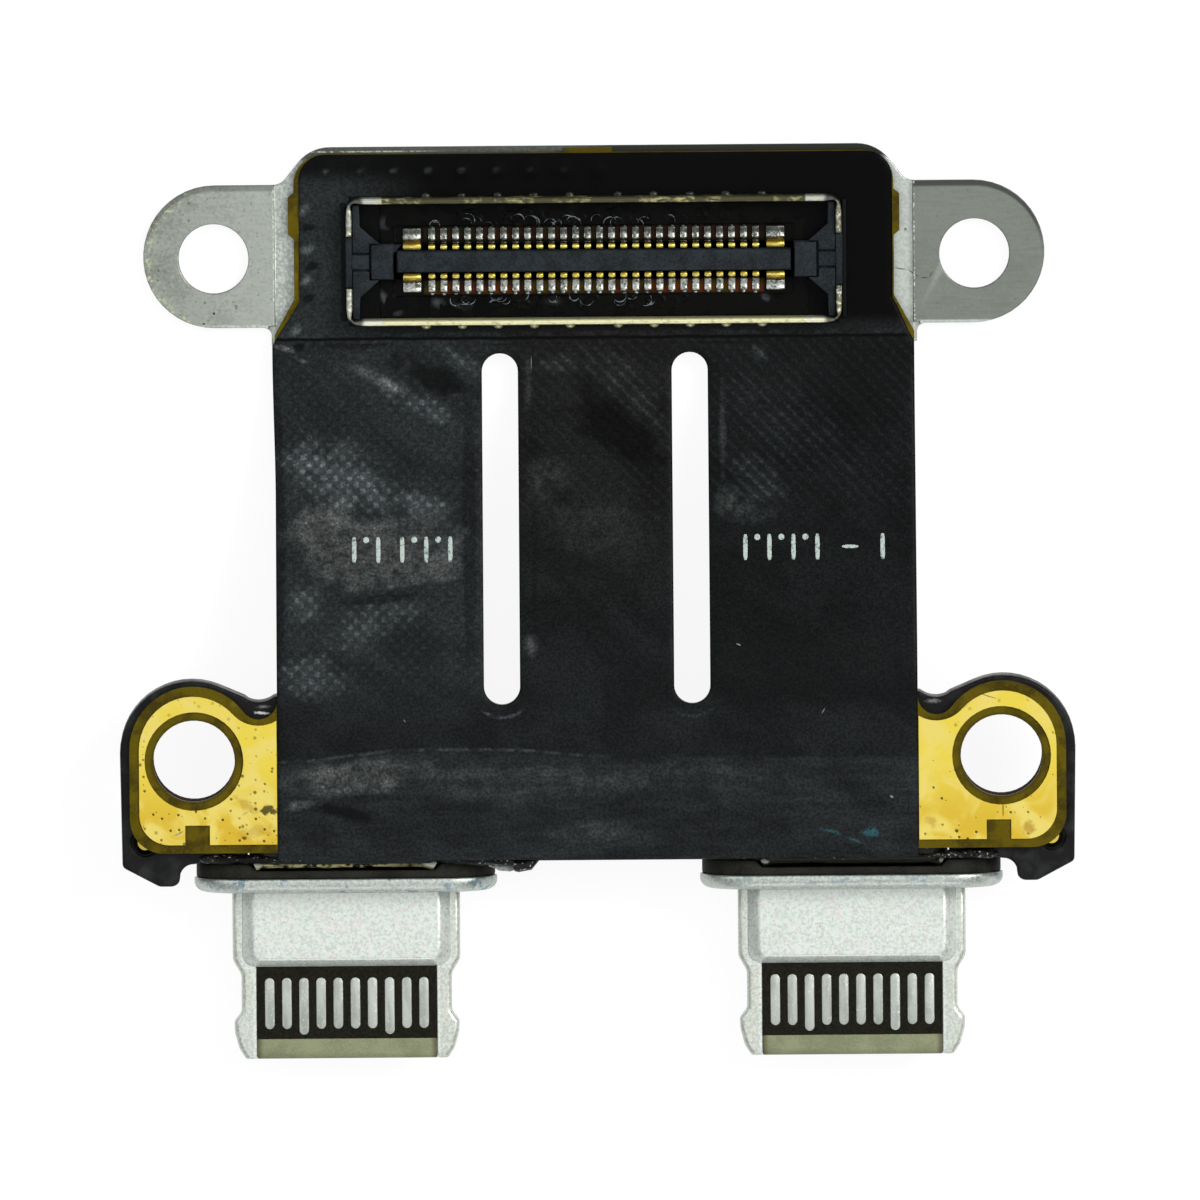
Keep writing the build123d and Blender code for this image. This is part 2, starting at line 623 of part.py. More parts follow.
def insulator(contacts, frame):
    """The upper half of the black tongue: thin at the front, thicker under the ground plate
    and through the flange, and a block that fills the shell."""
    front = block(-RAIL_INNER, RAIL_INNER, NOSE_BACK_Y, FLANGE_FRONT_Y, 0, TONGUE_THICKNESS / 2)
    root = plate_solid(PLATE_THICKNESS + FIT)
    inside = SHELL_INNER / 2 - FIT
    root_z = ROOT_THICKNESS / 2 - FIT
    root += block(-inside, inside, FLANGE_FRONT_Y, FLANGE_BACK_Y, 0, root_z)
    neck_z = NECK_HEIGHT / 2 - SHELL_WALL - FIT
    filling = block(-inside, inside, FLANGE_BACK_Y, SHELL_BACK_Y - 0.10, 0, neck_z)
    filling = chamfer(filling.edges() | Axis.Y, 0.28)
    filling = filling & block(-FAR, FAR, -FAR, FAR, 0, FAR)
    body = front + root + filling
    body = body & block(-FAR, FAR, -FAR, FAR, 0, FAR)
    return body - frame - contacts


def nose():
    """The pale front end of the tongue, with softened top and bottom edges."""
    half = RAIL_INNER
    body = block(-half, half, TIP_Y, NOSE_BACK_Y, -TONGUE_THICKNESS / 2, TONGUE_THICKNESS / 2)
    front = body.edges() | Axis.X
    return fillet(front.group_by(Axis.Y)[0], 0.22)


def port_parts():
    """Every piece of one port, with the port's middle plane at height zero."""
    frame = port_ground_frame()
    tongue_nose = nose()
    upper = upper_contacts()
    lower = lower_contacts()
    upper_half = insulator(upper, frame)
    # The lower row's risers pass behind the upper half, which ends inside the shell.
    upper_half -= lower
    flipped = [mirror(strip, about=Plane.XY) for strip in lower]
    lower_half = mirror(insulator(flipped, frame), about=Plane.XY)
    plate = ground_plate()
    return {
        "port_shell": port_shell(),
        "port_flange": port_flange(),
        "port_gasket": port_gasket(),
        "port_ground_frame": frame,
        "port_nose": tongue_nose,
        "port_upper_insulator": upper_half,
        "port_lower_insulator": lower_half,
        "port_upper_contacts": Compound(upper),
        "port_lower_contacts": Compound(lower),
        "port_upper_ground_plate": plate,
        "port_lower_ground_plate": mirror(plate, about=Plane.XY),
    }


def board_shield():
    """The metal wall round the board connector, open in the middle of each end, with small
    solder feet outside its long sides."""
    outer = RectangleRounded(SHIELD_LENGTH, SHIELD_WIDTH, SHIELD_CORNER)
    inner_size = (SHIELD_LENGTH - 2 * SHIELD_WALL, SHIELD_WIDTH - 2 * SHIELD_WALL)
    wall = outer - RectangleRounded(*inner_size, SHIELD_CORNER - SHIELD_WALL)
    wall -= Rectangle(2 * SHIELD_LENGTH, 2 * SHIELD_GAP)
    shield = prism(Pos(0, BOARD_Y) * wall, HEAD_TOP, HEAD_TOP + SHIELD_HEIGHT)
    spots = [FOOT_FIRST + n * FOOT_PITCH for n in range(FOOT_COUNT)]
    for x in spots + [-spot for spot in spots]:
        for side in (-1, 1):
            middle = BOARD_Y + side * (SHIELD_WIDTH / 2 + FOOT_REACH / 2 - 0.02)
            foot = Pos(x, middle) * Rectangle(FOOT_WIDTH, FOOT_REACH + 0.04)
            shield += prism(foot, HEAD_TOP, HEAD_TOP + FOOT_THICKNESS)
    return shield


def contact_profile():
    """A board contact seen from the side: a flat solder tail, then a rounded upright."""
    tail_top = TAIL_THICKNESS
    top = HEAD_TOP - HEAD_CORE_TOP + TIP_HEIGHT
    radius = (TIP_OUTER - TIP_INNER) / 2
    middle = (TIP_OUTER + TIP_INNER) / 2
    cap = arc_on((middle, top - radius), radius, 0, pi)
    heel = (TIP_OUTER + 0.10, tail_top)
    lower = Polyline((TIP_INNER, 0), (TAIL_END, 0), (TAIL_END, tail_top), heel)
    rise = ThreePointArc(heel, (TIP_OUTER + 0.03, tail_top + 0.03), (TIP_OUTER, tail_top + 0.10))
    return make_face(
        [
            lower,
            rise,
            Line((TIP_OUTER, tail_top + 0.10), cap @ 0),
            cap,
            Line(cap @ 1, (TIP_INNER, 0)),
        ]
    )


def board_contact(x, width, side):
    """One contact on the upper or the lower side of the ridge."""
    strip = extrude(Plane.YZ * contact_profile(), width / 2, both=True)
    if side < 0:
        strip = mirror(strip, about=Plane.XZ)
    return Pos(x, BOARD_Y, HEAD_CORE_TOP) * strip


def signal_row(side):
    """One row of signal contacts."""
    first = -SIGNAL_PITCH * (SIGNAL_COUNT - 1) / 2
    return [board_contact(first + n * SIGNAL_PITCH, SIGNAL_WIDTH, side) for n in range(SIGNAL_COUNT)]


def power_contacts():
    """The four wide contacts at the ends of the rows."""
    return [board_contact(x, POWER_WIDTH, side) for x in (-POWER_X, POWER_X) for side in (-1, 1)]


def end_plate_face():
    """The plastic at the right end of the board connector seen from above, upper half: it
    flares from the end block out to the corners of the shield."""
    inner = SHIELD_LENGTH / 2 - SHIELD_WALL - FIT
    wide = SHIELD_WIDTH / 2 - SHIELD_WALL - FIT
    start = LINK_WIDTH / 2 + END_GROOVE
    past = BLOCK_WIDTH / 2 + END_GROOVE / 2
    base = BLOCK_END + END_GROOVE
    points = [(inner, start), (base, start), (base, past), (BLOCK_END - 0.24, past)]
    points += [(inner - FLARE_WIDTH - 0.02, past + FLARE_DROP), (inner - FLARE_WIDTH, wide)]
    return make_face(Polyline(*points, (inner, wide), close=True))


def housing_block(x0, x1, half_width, height, side):
    """A block of the housing on the left or on the right, centred on the ridge line."""
    low, high = sorted((side * x0, side * x1))
    return block(low, high, BOARD_Y - half_width, BOARD_Y + half_width, HEAD_TOP, HEAD_TOP + height)


def board_housing():
    """The black housing: a ridge between the rows, a comb that the contacts stand in, a block
    at each end, and flared end plates."""
    floor = HEAD_TOP
    outer = SHIELD_LENGTH / 2
    comb = TIP_OUTER + COMB_EDGE
    link = BLOCK_END + END_GROOVE
    body = housing_block(-RIDGE_HALF, RIDGE_HALF, RIDGE_WIDTH / 2, HOUSING_HEIGHT, 1)
    body = fillet(body.faces().sort_by(Axis.Z)[-1].edges(), 0.05)
    body += housing_block(-outer, outer, comb, COMB_HEIGHT, 1)
    for side in (-1, 1):
        body += housing_block(BLOCK_START, BLOCK_END, BLOCK_WIDTH / 2, HOUSING_HEIGHT, side)
        body += housing_block(link, outer, LINK_WIDTH / 2, HOUSING_HEIGHT - 0.06, side)
        body += housing_block(link + 0.05, outer, comb + 0.08, HOUSING_HEIGHT - 0.14, side)
        wall = SHIELD_GAP - FIT
        body += housing_block(outer - SHIELD_WALL, outer + FIT, wall, 0.46, side)
        lip_end = SHIELD_WIDTH / 2 - LIP_MARGIN
        body += housing_block(outer + FIT, outer + FIT + HOUSING_LIP, lip_end, LIP_HEIGHT, side)
    flare = end_plate_face()
    flare += mirror(flare, about=Plane.XZ)
    body += prism(Pos(0, BOARD_Y) * both_sides(flare), floor, floor + HOUSING_HEIGHT - 0.04)
    return body


def build():
    """Make every piece in the object's frame and write one file for each."""
    upper_row = signal_row(1)
    lower_row = signal_row(-1)
    power = power_contacts()
    housing = board_housing() - upper_row - lower_row - power
    parts = {
        "flex_core": flex_core(),
        "flex_top_film": flex_top_film(),
        "flex_bottom_film": flex_bottom_film(),
        "upper_bracket": upper_bracket(),
        "carrier_frame": carrier_frame(),
        "board_connector_housing": housing,
        "board_connector_shield": board_shield(),
        "board_connector_upper_contacts": Compound(upper_row),
        "board_connector_lower_contacts": Compound(lower_row),
        "board_connector_power_contacts": Compound(power),
    }
    for name, side in (("left", -1), ("right", 1)):
        parts[name + "_lug_pad"] = lug_pad(side)
        parts[name + "_ground_stud"] = ground_stud(side)
    for key, shape in port_parts().items():
        for name, side in (("left", -1), ("right", 1)):
            parts[name + "_" + key] = Pos(side * PORT_X, 0, PORT_Z) * shape
    os.makedirs("parts", exist_ok=True)
    for name, shape in parts.items():
        export_step(shape, "parts/" + name + ".step")


build()
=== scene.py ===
"""Finished look of a twin charging port module: a flexible circuit with a shielded board
connector on a steel bracket at one end and two tongue ports on a black carrier at the other.

Lengths are in millimetres until a mesh is written, which is the one place where they become
metres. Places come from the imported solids' boxes, and the sizes that a box can't give are the
fields of the class that uses them.
"""

from __future__ import annotations

import logging
import sys
from dataclasses import dataclass, field
from enum import Enum
from functools import cached_property
from math import atan, cos, pi, radians, sin

import bmesh
import bpy
import numpy as np
from mathutils import Matrix, Vector


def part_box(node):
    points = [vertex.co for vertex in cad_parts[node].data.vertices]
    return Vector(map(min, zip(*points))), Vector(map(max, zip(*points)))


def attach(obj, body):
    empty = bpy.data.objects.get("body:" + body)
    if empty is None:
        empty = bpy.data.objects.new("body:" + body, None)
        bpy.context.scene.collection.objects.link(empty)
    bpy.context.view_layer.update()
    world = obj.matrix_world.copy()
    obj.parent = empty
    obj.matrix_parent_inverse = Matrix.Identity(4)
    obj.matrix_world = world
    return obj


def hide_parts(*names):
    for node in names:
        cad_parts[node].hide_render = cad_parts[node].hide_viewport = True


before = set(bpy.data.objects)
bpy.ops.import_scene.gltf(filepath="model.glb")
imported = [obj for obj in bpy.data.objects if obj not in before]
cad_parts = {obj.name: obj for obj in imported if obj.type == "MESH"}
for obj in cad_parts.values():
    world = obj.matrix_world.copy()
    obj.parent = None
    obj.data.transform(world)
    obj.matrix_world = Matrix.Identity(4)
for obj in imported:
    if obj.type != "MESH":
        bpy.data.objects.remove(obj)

MM = 0.001
BODY = "root"
LOG = logging.getLogger("port_module")

Array = np.ndarray
Socket = bpy.types.NodeSocket
Value = "Socket | float"


def rgb(red: float, green: float, blue: float) -> tuple[float, float, float, float]:
    """Turns a colour as a picture shows it into the linear light that a shader takes.

    Args:
        red, green, blue: The colour's parts, each from 0 to 255.

    Returns:
        The linear parts, with an alpha of 1.
    """
    parts = np.array([red, green, blue]) / 255
    linear = np.where(parts <= 0.04045, parts / 12.92, ((parts + 0.055) / 1.055) ** 2.4)
    return (*linear.tolist(), 1.0)


class Side(Enum):
    """The two sides of the part, with the sign of X on each."""

    LEFT = -1
    RIGHT = 1

    @property
    def prefix(self) -> str:
        """The start of the names of this side's solids."""
        return self.name.lower() + "_"


@dataclass(frozen=True)
class Box:
    """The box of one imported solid.

    Attributes:
        low: Its lowest corner.
        high: Its highest corner.
    """

    low: Array
    high: Array

    @classmethod
    def of(cls, node: str) -> Box:
        """Reads a solid's box from the frame."""
        low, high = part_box(node)
        return cls(np.array(low) / MM, np.array(high) / MM)

    @property
    def middle(self) -> Array:
        """The box's centre."""
        return (self.low + self.high) / 2

    @property
    def size(self) -> Array:
        """The box's lengths along X, Y and Z."""
        return self.high - self.low


@dataclass
class Surface:
    """Points and faces as whole arrays.

    Attributes:
        points: A row of X, Y and Z for each point.
        faces: Arrays of point numbers, one array for each count of corners.
    """

    points: Array
    faces: list[Array]

    @classmethod
    def grid(cls, points: Array, wrap_u: bool = False, wrap_v: bool = False) -> Surface:
        """Joins a grid of points with quads that face +Z where u runs to +X and v to +Y.

        Args:
            points: The grid, of shape (u, v, 3).
            wrap_u: Joins the last row to the first.
            wrap_v: Joins the last column to the first.

        Returns:
            The surface.
        """
        count_u, count_v = points.shape[:2]
        number = np.arange(count_u * count_v).reshape(count_u, count_v)
        if wrap_u:
            number = np.vstack([number, number[:1]])
        if wrap_v:
            number = np.hstack([number, number[:, :1]])
        corners = [number[:-1, :-1], number[1:, :-1], number[1:, 1:], number[:-1, 1:]]
        return cls(points.reshape(-1, 3), [np.stack(corners, axis=-1).reshape(-1, 4)])

    def repeated(self, offsets: Array) -> Surface:
        """Copies the surface to each offset.

        Args:
            offsets: A row of X, Y and Z for each copy.

        Returns:
            All the copies as one surface.
        """
        points = (self.points[None] + offsets[:, None]).reshape(-1, 3)
        shift = np.arange(len(offsets))[:, None, None] * len(self.points)
        return Surface(points, [(f[None] + shift).reshape(-1, f.shape[1]) for f in self.faces])

    def scaled(self, across: float, along: float, up: float) -> Surface:
        """Stretches the surface on each axis, and turns its faces back out if that mirrors it."""
        factors = np.array([across, along, up])
        mirrored = factors.prod() < 0
        faces = [f[:, ::-1] if mirrored else f for f in self.faces]
        return Surface(self.points * factors, faces)

    def moved(self, x: float, y: float, z: float) -> Surface:
        """Moves the surface by an offset."""
        return Surface(self.points + np.array([x, y, z]), self.faces)

    @staticmethod
    def joined(surfaces: list[Surface]) -> Surface:
        """Puts several surfaces into one."""
        starts = np.cumsum([0] + [len(s.points) for s in surfaces[:-1]])
        faces = [f + start for s, start in zip(surfaces, starts) for f in s.faces]
        return Surface(np.concatenate([s.points for s in surfaces]), faces)

    def mesh(self, name: str) -> bpy.types.Mesh:
        """Writes the surface into a mesh, in metres, with smooth faces."""
        totals = np.concatenate([np.full(len(f), f.shape[1]) for f in self.faces])
        corners = np.concatenate([f.ravel() for f in self.faces])
        mesh = bpy.data.meshes.new(name)
        mesh.vertices.add(len(self.points))
        mesh.vertices.foreach_set("co", (self.points * MM).astype(np.float32).ravel())
        mesh.loops.add(len(corners))
        mesh.loops.foreach_set("vertex_index", corners.astype(np.int32))
        mesh.polygons.add(len(totals))
        starts = np.concatenate([[0], np.cumsum(totals)[:-1]])
        mesh.polygons.foreach_set("loop_start", starts.astype(np.int32))
        mesh.polygons.foreach_set("loop_total", totals.astype(np.int32))
        mesh.polygons.foreach_set("use_smooth", np.ones(len(totals), dtype=bool))
        mesh.update(calc_edges=True)
        mesh.validate()
        return mesh


def slab(top: Array, under: Array, quads: Array) -> Surface:
    """Closes a plate between an upper and a lower sheet that share their quads. An edge is on
    the rim if no other quad runs along it the other way, and each rim edge gets a wall.

    Args:
        top: The upper sheet's points.
        under: The lower sheet's points, in the same order.
        quads: The quads of the upper sheet, facing up.

    Returns:
        The closed plate, with no unused point.
    """
    used, flat = np.unique(quads, return_inverse=True)
    quads = flat.reshape(quads.shape)
    count = len(used)
    start = quads.ravel()
    end = np.roll(quads, -1, axis=1).ravel()
    rim = ~np.isin(start * count + end, end * count + start)
    a, b = start[rim], end[rim]
    walls = np.stack([b, a, a + count, b + count], axis=-1)
    points = np.concatenate([top[used], under[used]])
    return Surface(points, [np.concatenate([quads, quads[:, ::-1] + count, walls])])


def arc(centre: tuple[float, float], radius: float, start: float, end: float, count: int) -> Array:
    """Points along an arc.

    Args:
        centre: The arc's centre.
        radius: Its radius.
        start, end: Its angles in degrees.
        count: How many points.

    Returns:
        A row of two coordinates for each point.
    """
    angle = np.radians(np.linspace(start, end, count))
    return np.stack(
        [centre[0] + radius * np.cos(angle), centre[1] + radius * np.sin(angle)], axis=-1
    )


def outward(outline: Array) -> Array:
    """Unit normals of a closed outline that runs anticlockwise: the tangent at each point is
    the step between its neighbours, turned a quarter to the right."""
    step = np.roll(outline, -1, axis=0) - np.roll(outline, 1, axis=0)
    normal = np.stack([step[:, 1], -step[:, 0]], axis=-1)
    return normal / np.linalg.norm(normal, axis=1, keepdims=True)


def soft_bar(outline: Array, width: float, edge: float) -> Surface:
    """Carries an outline in the YZ plane across X, with softened ends: four sections, of which
    the outer two are drawn in by the edge, and a flat cap on each.

    Args:
        outline: The section's points, anticlockwise seen from +X.
        width: The bar's length along X.
        edge: How far the end sections are drawn in and set back.

    Returns:
        The closed bar.
    """
    drawn_in = outline - outward(outline) * edge
    half = width / 2
    sections = [(-half, drawn_in), (edge - half, outline), (half - edge, outline), (half, drawn_in)]
    rings = np.stack([np.column_stack([np.full(len(s), x), s]) for x, s in sections])
    bar = Surface.grid(rings, wrap_v=True)
    last = np.arange(len(outline)) + 3 * len(outline)
    first = np.arange(len(outline))[::-1]
    return Surface(bar.points, [*bar.faces, np.stack([first, last])])


def dome(across: float, along: float, height: float, spokes: int = 12, rings: int = 4) -> Surface:
    """A closed low dome, half of an ellipsoid on a flat base. A ring at angle t from the rim
    has the cosine of t as its reach and the sine of t as its height.

    Args:
        across, along: Half its width along X and Y.
        height: Its height.
        spokes, rings: How finely it's divided.

    Returns:
        The dome, standing on height 0 at the origin.
    """
    lift = np.linspace(0, pi / 2, rings + 1)[:-1, None]
    turn = np.linspace(0, 2 * pi, spokes, endpoint=False)[None]
    reach = np.cos(lift)
    points = np.stack(
        [
            across * reach * np.cos(turn),
            along * reach * np.sin(turn),
            height * np.sin(lift) + 0 * turn,
        ],
        axis=-1,
    )
    side = Surface.grid(points.transpose(1, 0, 2), wrap_u=True)
    apex = len(side.points)
    rim = np.arange(spokes) * rings
    last = rim + rings - 1
    fan = np.stack([last, np.roll(last, -1), np.full(spokes, apex)], axis=-1)
    points = np.concatenate([side.points, [[0, 0, height]]])
    return Surface(points, [*side.faces, fan, rim[None, ::-1]])


def ripple(x: Array, y: Array, length: float, seed: int) -> Array:
    """A smooth irregular wave: twelve plane waves with random directions, lengths about the
    given one and random phases, added up and scaled to stay about between -1 and 1.

    Args:
        x, y: Where it's wanted.
        length: The middle wavelength.
        seed: Picks the waves.

    Returns:
        The wave's value at each place.
    """
    rng = np.random.default_rng(seed)
    total = np.zeros(np.broadcast(x, y).shape)
    for turn, phase, stretch in rng.uniform([0, 0, 0.7], [2 * pi, 2 * pi, 1.4], (12, 3)):
        path = x * cos(turn) + y * sin(turn)
        total = total + np.sin(2 * pi * path / (length * stretch) + phase)
    return total / 6


def bell(distance: Array, reach: float) -> Array:
    """A bell curve, 1 in the middle and about a third at the reach."""
    return np.exp(-((distance / reach) ** 2))


def ease(value: Array, low: float, high: float) -> Array:
    """Goes smoothly from 0 at the low end to 1 at the high end."""
    share = np.clip((value - low) / (high - low), 0, 1)
    return share * share * (3 - 2 * share)


@dataclass(frozen=True)
class Blot:
    """A soft oval mark on the plan.

    Attributes:
        x, y: Its middle.
        along, across: Half its length and half its width.
        turn: How far its length is turned from +X, in degrees.
        strength: Its strength in the middle.
        soft: The share of its radius over which it fades out.
    """

    x: float
    y: float
    along: float
    across: float
    turn: float = 0.0
    strength: float = 1.0
    soft: float = 0.7


class Graph:
    """A material's node tree, with a short method for each kind of step."""

    def __init__(self, name: str) -> None:
        """Starts an empty tree.

        Args:
            name: The material's name.
        """
        self.material = bpy.data.materials.new(name)
        self.material.use_nodes = True
        self.tree = self.material.node_tree
        self.tree.nodes.clear()
        self.turns = {0.0: self.place}

    def put(self, socket: Socket, value: Value | tuple) -> None:
        """Links a socket to another one, or sets it to a constant."""
        if isinstance(value, bpy.types.NodeSocket):
            self.tree.links.new(value, socket)
        else:
            socket.default_value = value

    def add(
        self, kind: str, inputs: dict[str | int, Value | tuple], **settings: object
    ) -> bpy.types.Node:
        """Adds a node.

        Args:
            kind: The node's type, without its ShaderNode start.
            inputs: What goes into its sockets, by name or number.
            settings: The node's own options.

        Returns:
            The node.
        """
        node = self.tree.nodes.new("ShaderNode" + kind)
        for key, value in settings.items():
            setattr(node, key, value)
        for key, value in inputs.items():
            self.put(node.inputs[key], value)
        return node

    @cached_property
    def place(self) -> Socket:
        """The object's own coordinates, counted in millimetres."""
        coord = self.add("TexCoord", {})
        return self.add(
            "VectorMath", {0: coord.outputs["Object"], "Scale": 1 / MM}, operation="SCALE"
        ).outputs[0]

    @cached_property
    def axes(self) -> bpy.types.NodeOutputs:
        """X, Y and Z of the place, apart."""
        return self.add("SeparateXYZ", {0: self.place}).outputs

    def math(self, operation: str, a: Value, b: Value = 0.0, c: Value = 0.0) -> Socket:
        """One step of arithmetic."""
        return self.add("Math", {0: a, 1: b, 2: c}, operation=operation).outputs[0]

    def plus(self, a: Value, b: Value) -> Socket:
        """The sum of two values."""
        return self.math("ADD", a, b)

    def minus(self, a: Value, b: Value) -> Socket:
        """The first value less the second."""
        return self.math("SUBTRACT", a, b)

    def size(self, value: Value) -> Socket:
        """A value without its sign."""
        return self.math("ABSOLUTE", value)

    def distance(self, value: Socket, centre: float) -> Socket:
        """How far a value is from a centre, either way."""
        return self.size(self.minus(value, centre))

    def ramp(
        self, value: Value, low: float, high: float, start: float = 0.0, end: float = 1.0
    ) -> Socket:
        """Goes smoothly from start, at the low end of a value, to end, at its high end."""
        inputs = {"Value": value, "From Min": low, "From Max": high, "To Min": start, "To Max": end}
        return self.add("MapRange", inputs, interpolation_type="SMOOTHSTEP").outputs[0]

    def band(self, value: Socket, centre: float, inner: float, outer: float) -> Socket:
        """1 within the inner distance of a centre, falling to 0 at the outer distance."""
        return self.ramp(self.distance(value, centre), inner, outer, 1.0, 0.0)

    def away(self, across: Socket, x: float, y: float) -> Socket:
        """How far from a point on the plan a place is, from X or another value in its stead."""
        first = self.math("POWER", self.distance(across, x), 2.0)
        second = self.math("POWER", self.distance(self.axes[1], y), 2.0)
        return self.math("SQRT", self.plus(first, second))

    def spot(self, x: float, y: float, inner: float, outer: float) -> Socket:
        """A round soft spot about a place on the plan."""
        return self.ramp(self.away(self.axes[0], x, y), inner, outer, 1.0, 0.0)

    def turned(self, turn: float) -> Socket:
        """The place as seen along axes turned about Z by degrees, made once for each angle."""
        if turn not in self.turns:
            node = self.add(
                "Mapping", {"Vector": self.place, "Rotation": (0.0, 0.0, radians(-turn))}
            )
            self.turns[turn] = node.outputs[0]
        return self.turns[turn]

    def blots(self, marks: tuple[Blot, ...], wobble: Value, rough: float) -> Socket:
        """Several marks together, each with an uneven rim.

        Args:
            marks: The marks.
            wobble: Noise about 0 that moves the rims in and out.
            rough: How far it moves them, as a share of a mark's radius.

        Returns:
            The strongest mark's strength at each place.
        """
        total = None
        for mark in marks:
            turn = radians(mark.turn)
            along = (mark.x * cos(turn) + mark.y * sin(turn)) / mark.along
            across = (mark.y * cos(turn) - mark.x * sin(turn)) / mark.across
            inputs = {
                0: self.turned(mark.turn),
                1: (1 / mark.along, 1 / mark.across, 0.0),
                2: (-along, -across, 0.0),
            }
            local = self.add("VectorMath", inputs, operation="MULTIPLY_ADD").outputs[0]
            radius = self.add("VectorMath", {0: local}, operation="LENGTH").outputs["Value"]
            radius = self.math("MULTIPLY_ADD", wobble, rough, radius)
            shade = self.ramp(radius, 1.0 - mark.soft, 1.0, mark.strength, 0.0)
            total = shade if total is None else self.most(total, shade)
        return total

    def times(self, *values: Value) -> Socket:
        """Several values multiplied together."""
        total = values[0]
        for value in values[1:]:
            total = self.math("MULTIPLY", total, value)
        return total

    def most(self, *values: Value) -> Socket:
        """The largest of several values."""
        total = values[0]
        for value in values[1:]:
            total = self.math("MAXIMUM", total, value)
        return total

    def stretched(self, across: float, along: float, up: float, turn: float = 0.0) -> Socket:
        """The place, turned about Z by degrees and then scaled on each axis."""
        turned = self.add("Mapping", {"Vector": self.place, "Rotation": (0, 0, radians(turn))})
        inputs = {0: turned.outputs[0], 1: (across, along, up)}
        return self.add("VectorMath", inputs, operation="MULTIPLY").outputs[0]

    def noise(
        self, scale: float, detail: float = 3.0, vector: Socket | None = None, twist: float = 0.0
    ) -> Socket:
        """Cloudy noise with a given number of lumps to the millimetre."""
        inputs = {
            "Vector": vector or self.place, "Scale": scale, "Detail": detail, "Distortion": twist
        }
        return self.add("TexNoise", inputs).outputs[0]

    def specks(self, scale: float, size: float, share: Value) -> Socket:
        """Small round specks, each in a cell of its own, in a share of the cells.

        Args:
            scale: Cells to the millimetre.
            size: A speck's radius, in cells.
            share: How many of the cells have one, from 0 to 1.

        Returns:
            1 in a speck, and 0 between them.
        """
        cell = self.add(
            "TexVoronoi", {"Vector": self.place, "Scale": scale}, voronoi_dimensions="2D"
        )
        disc = self.ramp(cell.outputs["Distance"], size * 0.5, size, 1.0, 0.0)
        pick = self.add("SeparateColor", {0: cell.outputs["Color"]}).outputs[0]
        return self.times(disc, self.math("LESS_THAN", pick, share))

    def blend(self, share: Value, a: Value, b: Value) -> Socket:
        """A number between two others."""
        return self.add("Mix", {0: share, 2: a, 3: b}, data_type="FLOAT").outputs[0]

    def mix(self, share: Value, a: Value | tuple, b: Value | tuple) -> Socket:
        """A colour between two others."""
        return self.add("Mix", {0: share, 6: a, 7: b}, data_type="RGBA").outputs[2]

    def bump(self, height: Socket, depth: float, below: Socket | None = None) -> Socket:
        """Relief from a height.

        Args:
            height: The height, from 0 to 1.
            depth: What a height of 1 stands for, in millimetres.
            below: Relief that it's laid over.

        Returns:
            The normal.
        """
        inputs = {"Height": height, "Distance": depth * MM, "Strength": 1.0}
        if below is not None:
            inputs["Normal"] = below
        return self.add("Bump", inputs).outputs[0]

    def finish(
        self, colour: Value | tuple, roughness: Value, normal: Socket | None = None, **more: Value
    ) -> bpy.types.Material:
        """Ends the tree in a surface.

        Args:
            colour: Its base colour.
            roughness: Its roughness.
            normal: Its relief.
            more: Other sockets of the shader, by name with _ for a space.

        Returns:
            The finished material.
        """
        inputs = {"Base Color": colour, "Roughness": roughness}
        inputs.update({key.replace("_", " "): value for key, value in more.items()})
        if normal is not None:
            inputs["Normal"] = normal
        shader = self.add("BsdfPrincipled", inputs)
        out = self.add("OutputMaterial", {})
        self.tree.links.new(shader.outputs[0], out.inputs["Surface"])
        return self.material

    def even(
        self, colour: Socket, noise: Socket, rough: tuple, depth: float, gloss: float
    ) -> bpy.types.Material:
        """Ends the tree in a surface whose roughness and relief follow one noise.

        Args:
            colour: Its base colour.
            noise: The noise.
            rough: The least and the greatest roughness.
            depth: The relief's depth.
            gloss: The shader's specular level.

        Returns:
            The finished material.
        """
        roughness = self.ramp(noise, 0.3, 0.7, *rough)
        return self.finish(colour, roughness, self.bump(noise, depth), Specular_IOR_Level=gloss)


@dataclass(frozen=True, kw_only=True)
class Finish:
    """What each finish has.

    Attributes:
        slot: The record's material slot that it belongs to; not used.
    """

    slot: str

    def graph(self) -> Graph:
        """Starts this finish's material, named after its class."""
        return Graph(type(self).__name__)

    @cached_property
    def material(self) -> bpy.types.Material:
        """The finish's material, made once."""
        return self.make()

    def make(self) -> bpy.types.Material:
        """Makes the material.

        Returns:
            The finished material.
        """
        raise NotImplementedError


@dataclass(frozen=True)
class Mottled(Finish):
    """Two tones mixed by one noise, which also gives the roughness and the relief.

    Attributes:
        first, second: The two tones.
        lumps: The noise's lumps to the millimetre, and its detail.
        share: The noise's values where the second tone starts and where it is full.
        rough: The least and the greatest roughness.
        depth: The relief's depth.
        gloss: The shader's specular level.
    """

    first: tuple
    second: tuple
    lumps: tuple[float, float]
    share: tuple[float, float]
    rough: tuple[float, float]
    depth: float
    gloss: float = 0.5

    def make(self) -> bpy.types.Material:
        """Makes the material.

        Returns:
            The finished material.
        """
        g = self.graph()
        noise = g.noise(*self.lumps)
        colour = g.mix(g.ramp(noise, *self.share), self.first, self.second)
        return g.even(colour, noise, self.rough, self.depth, self.gloss)


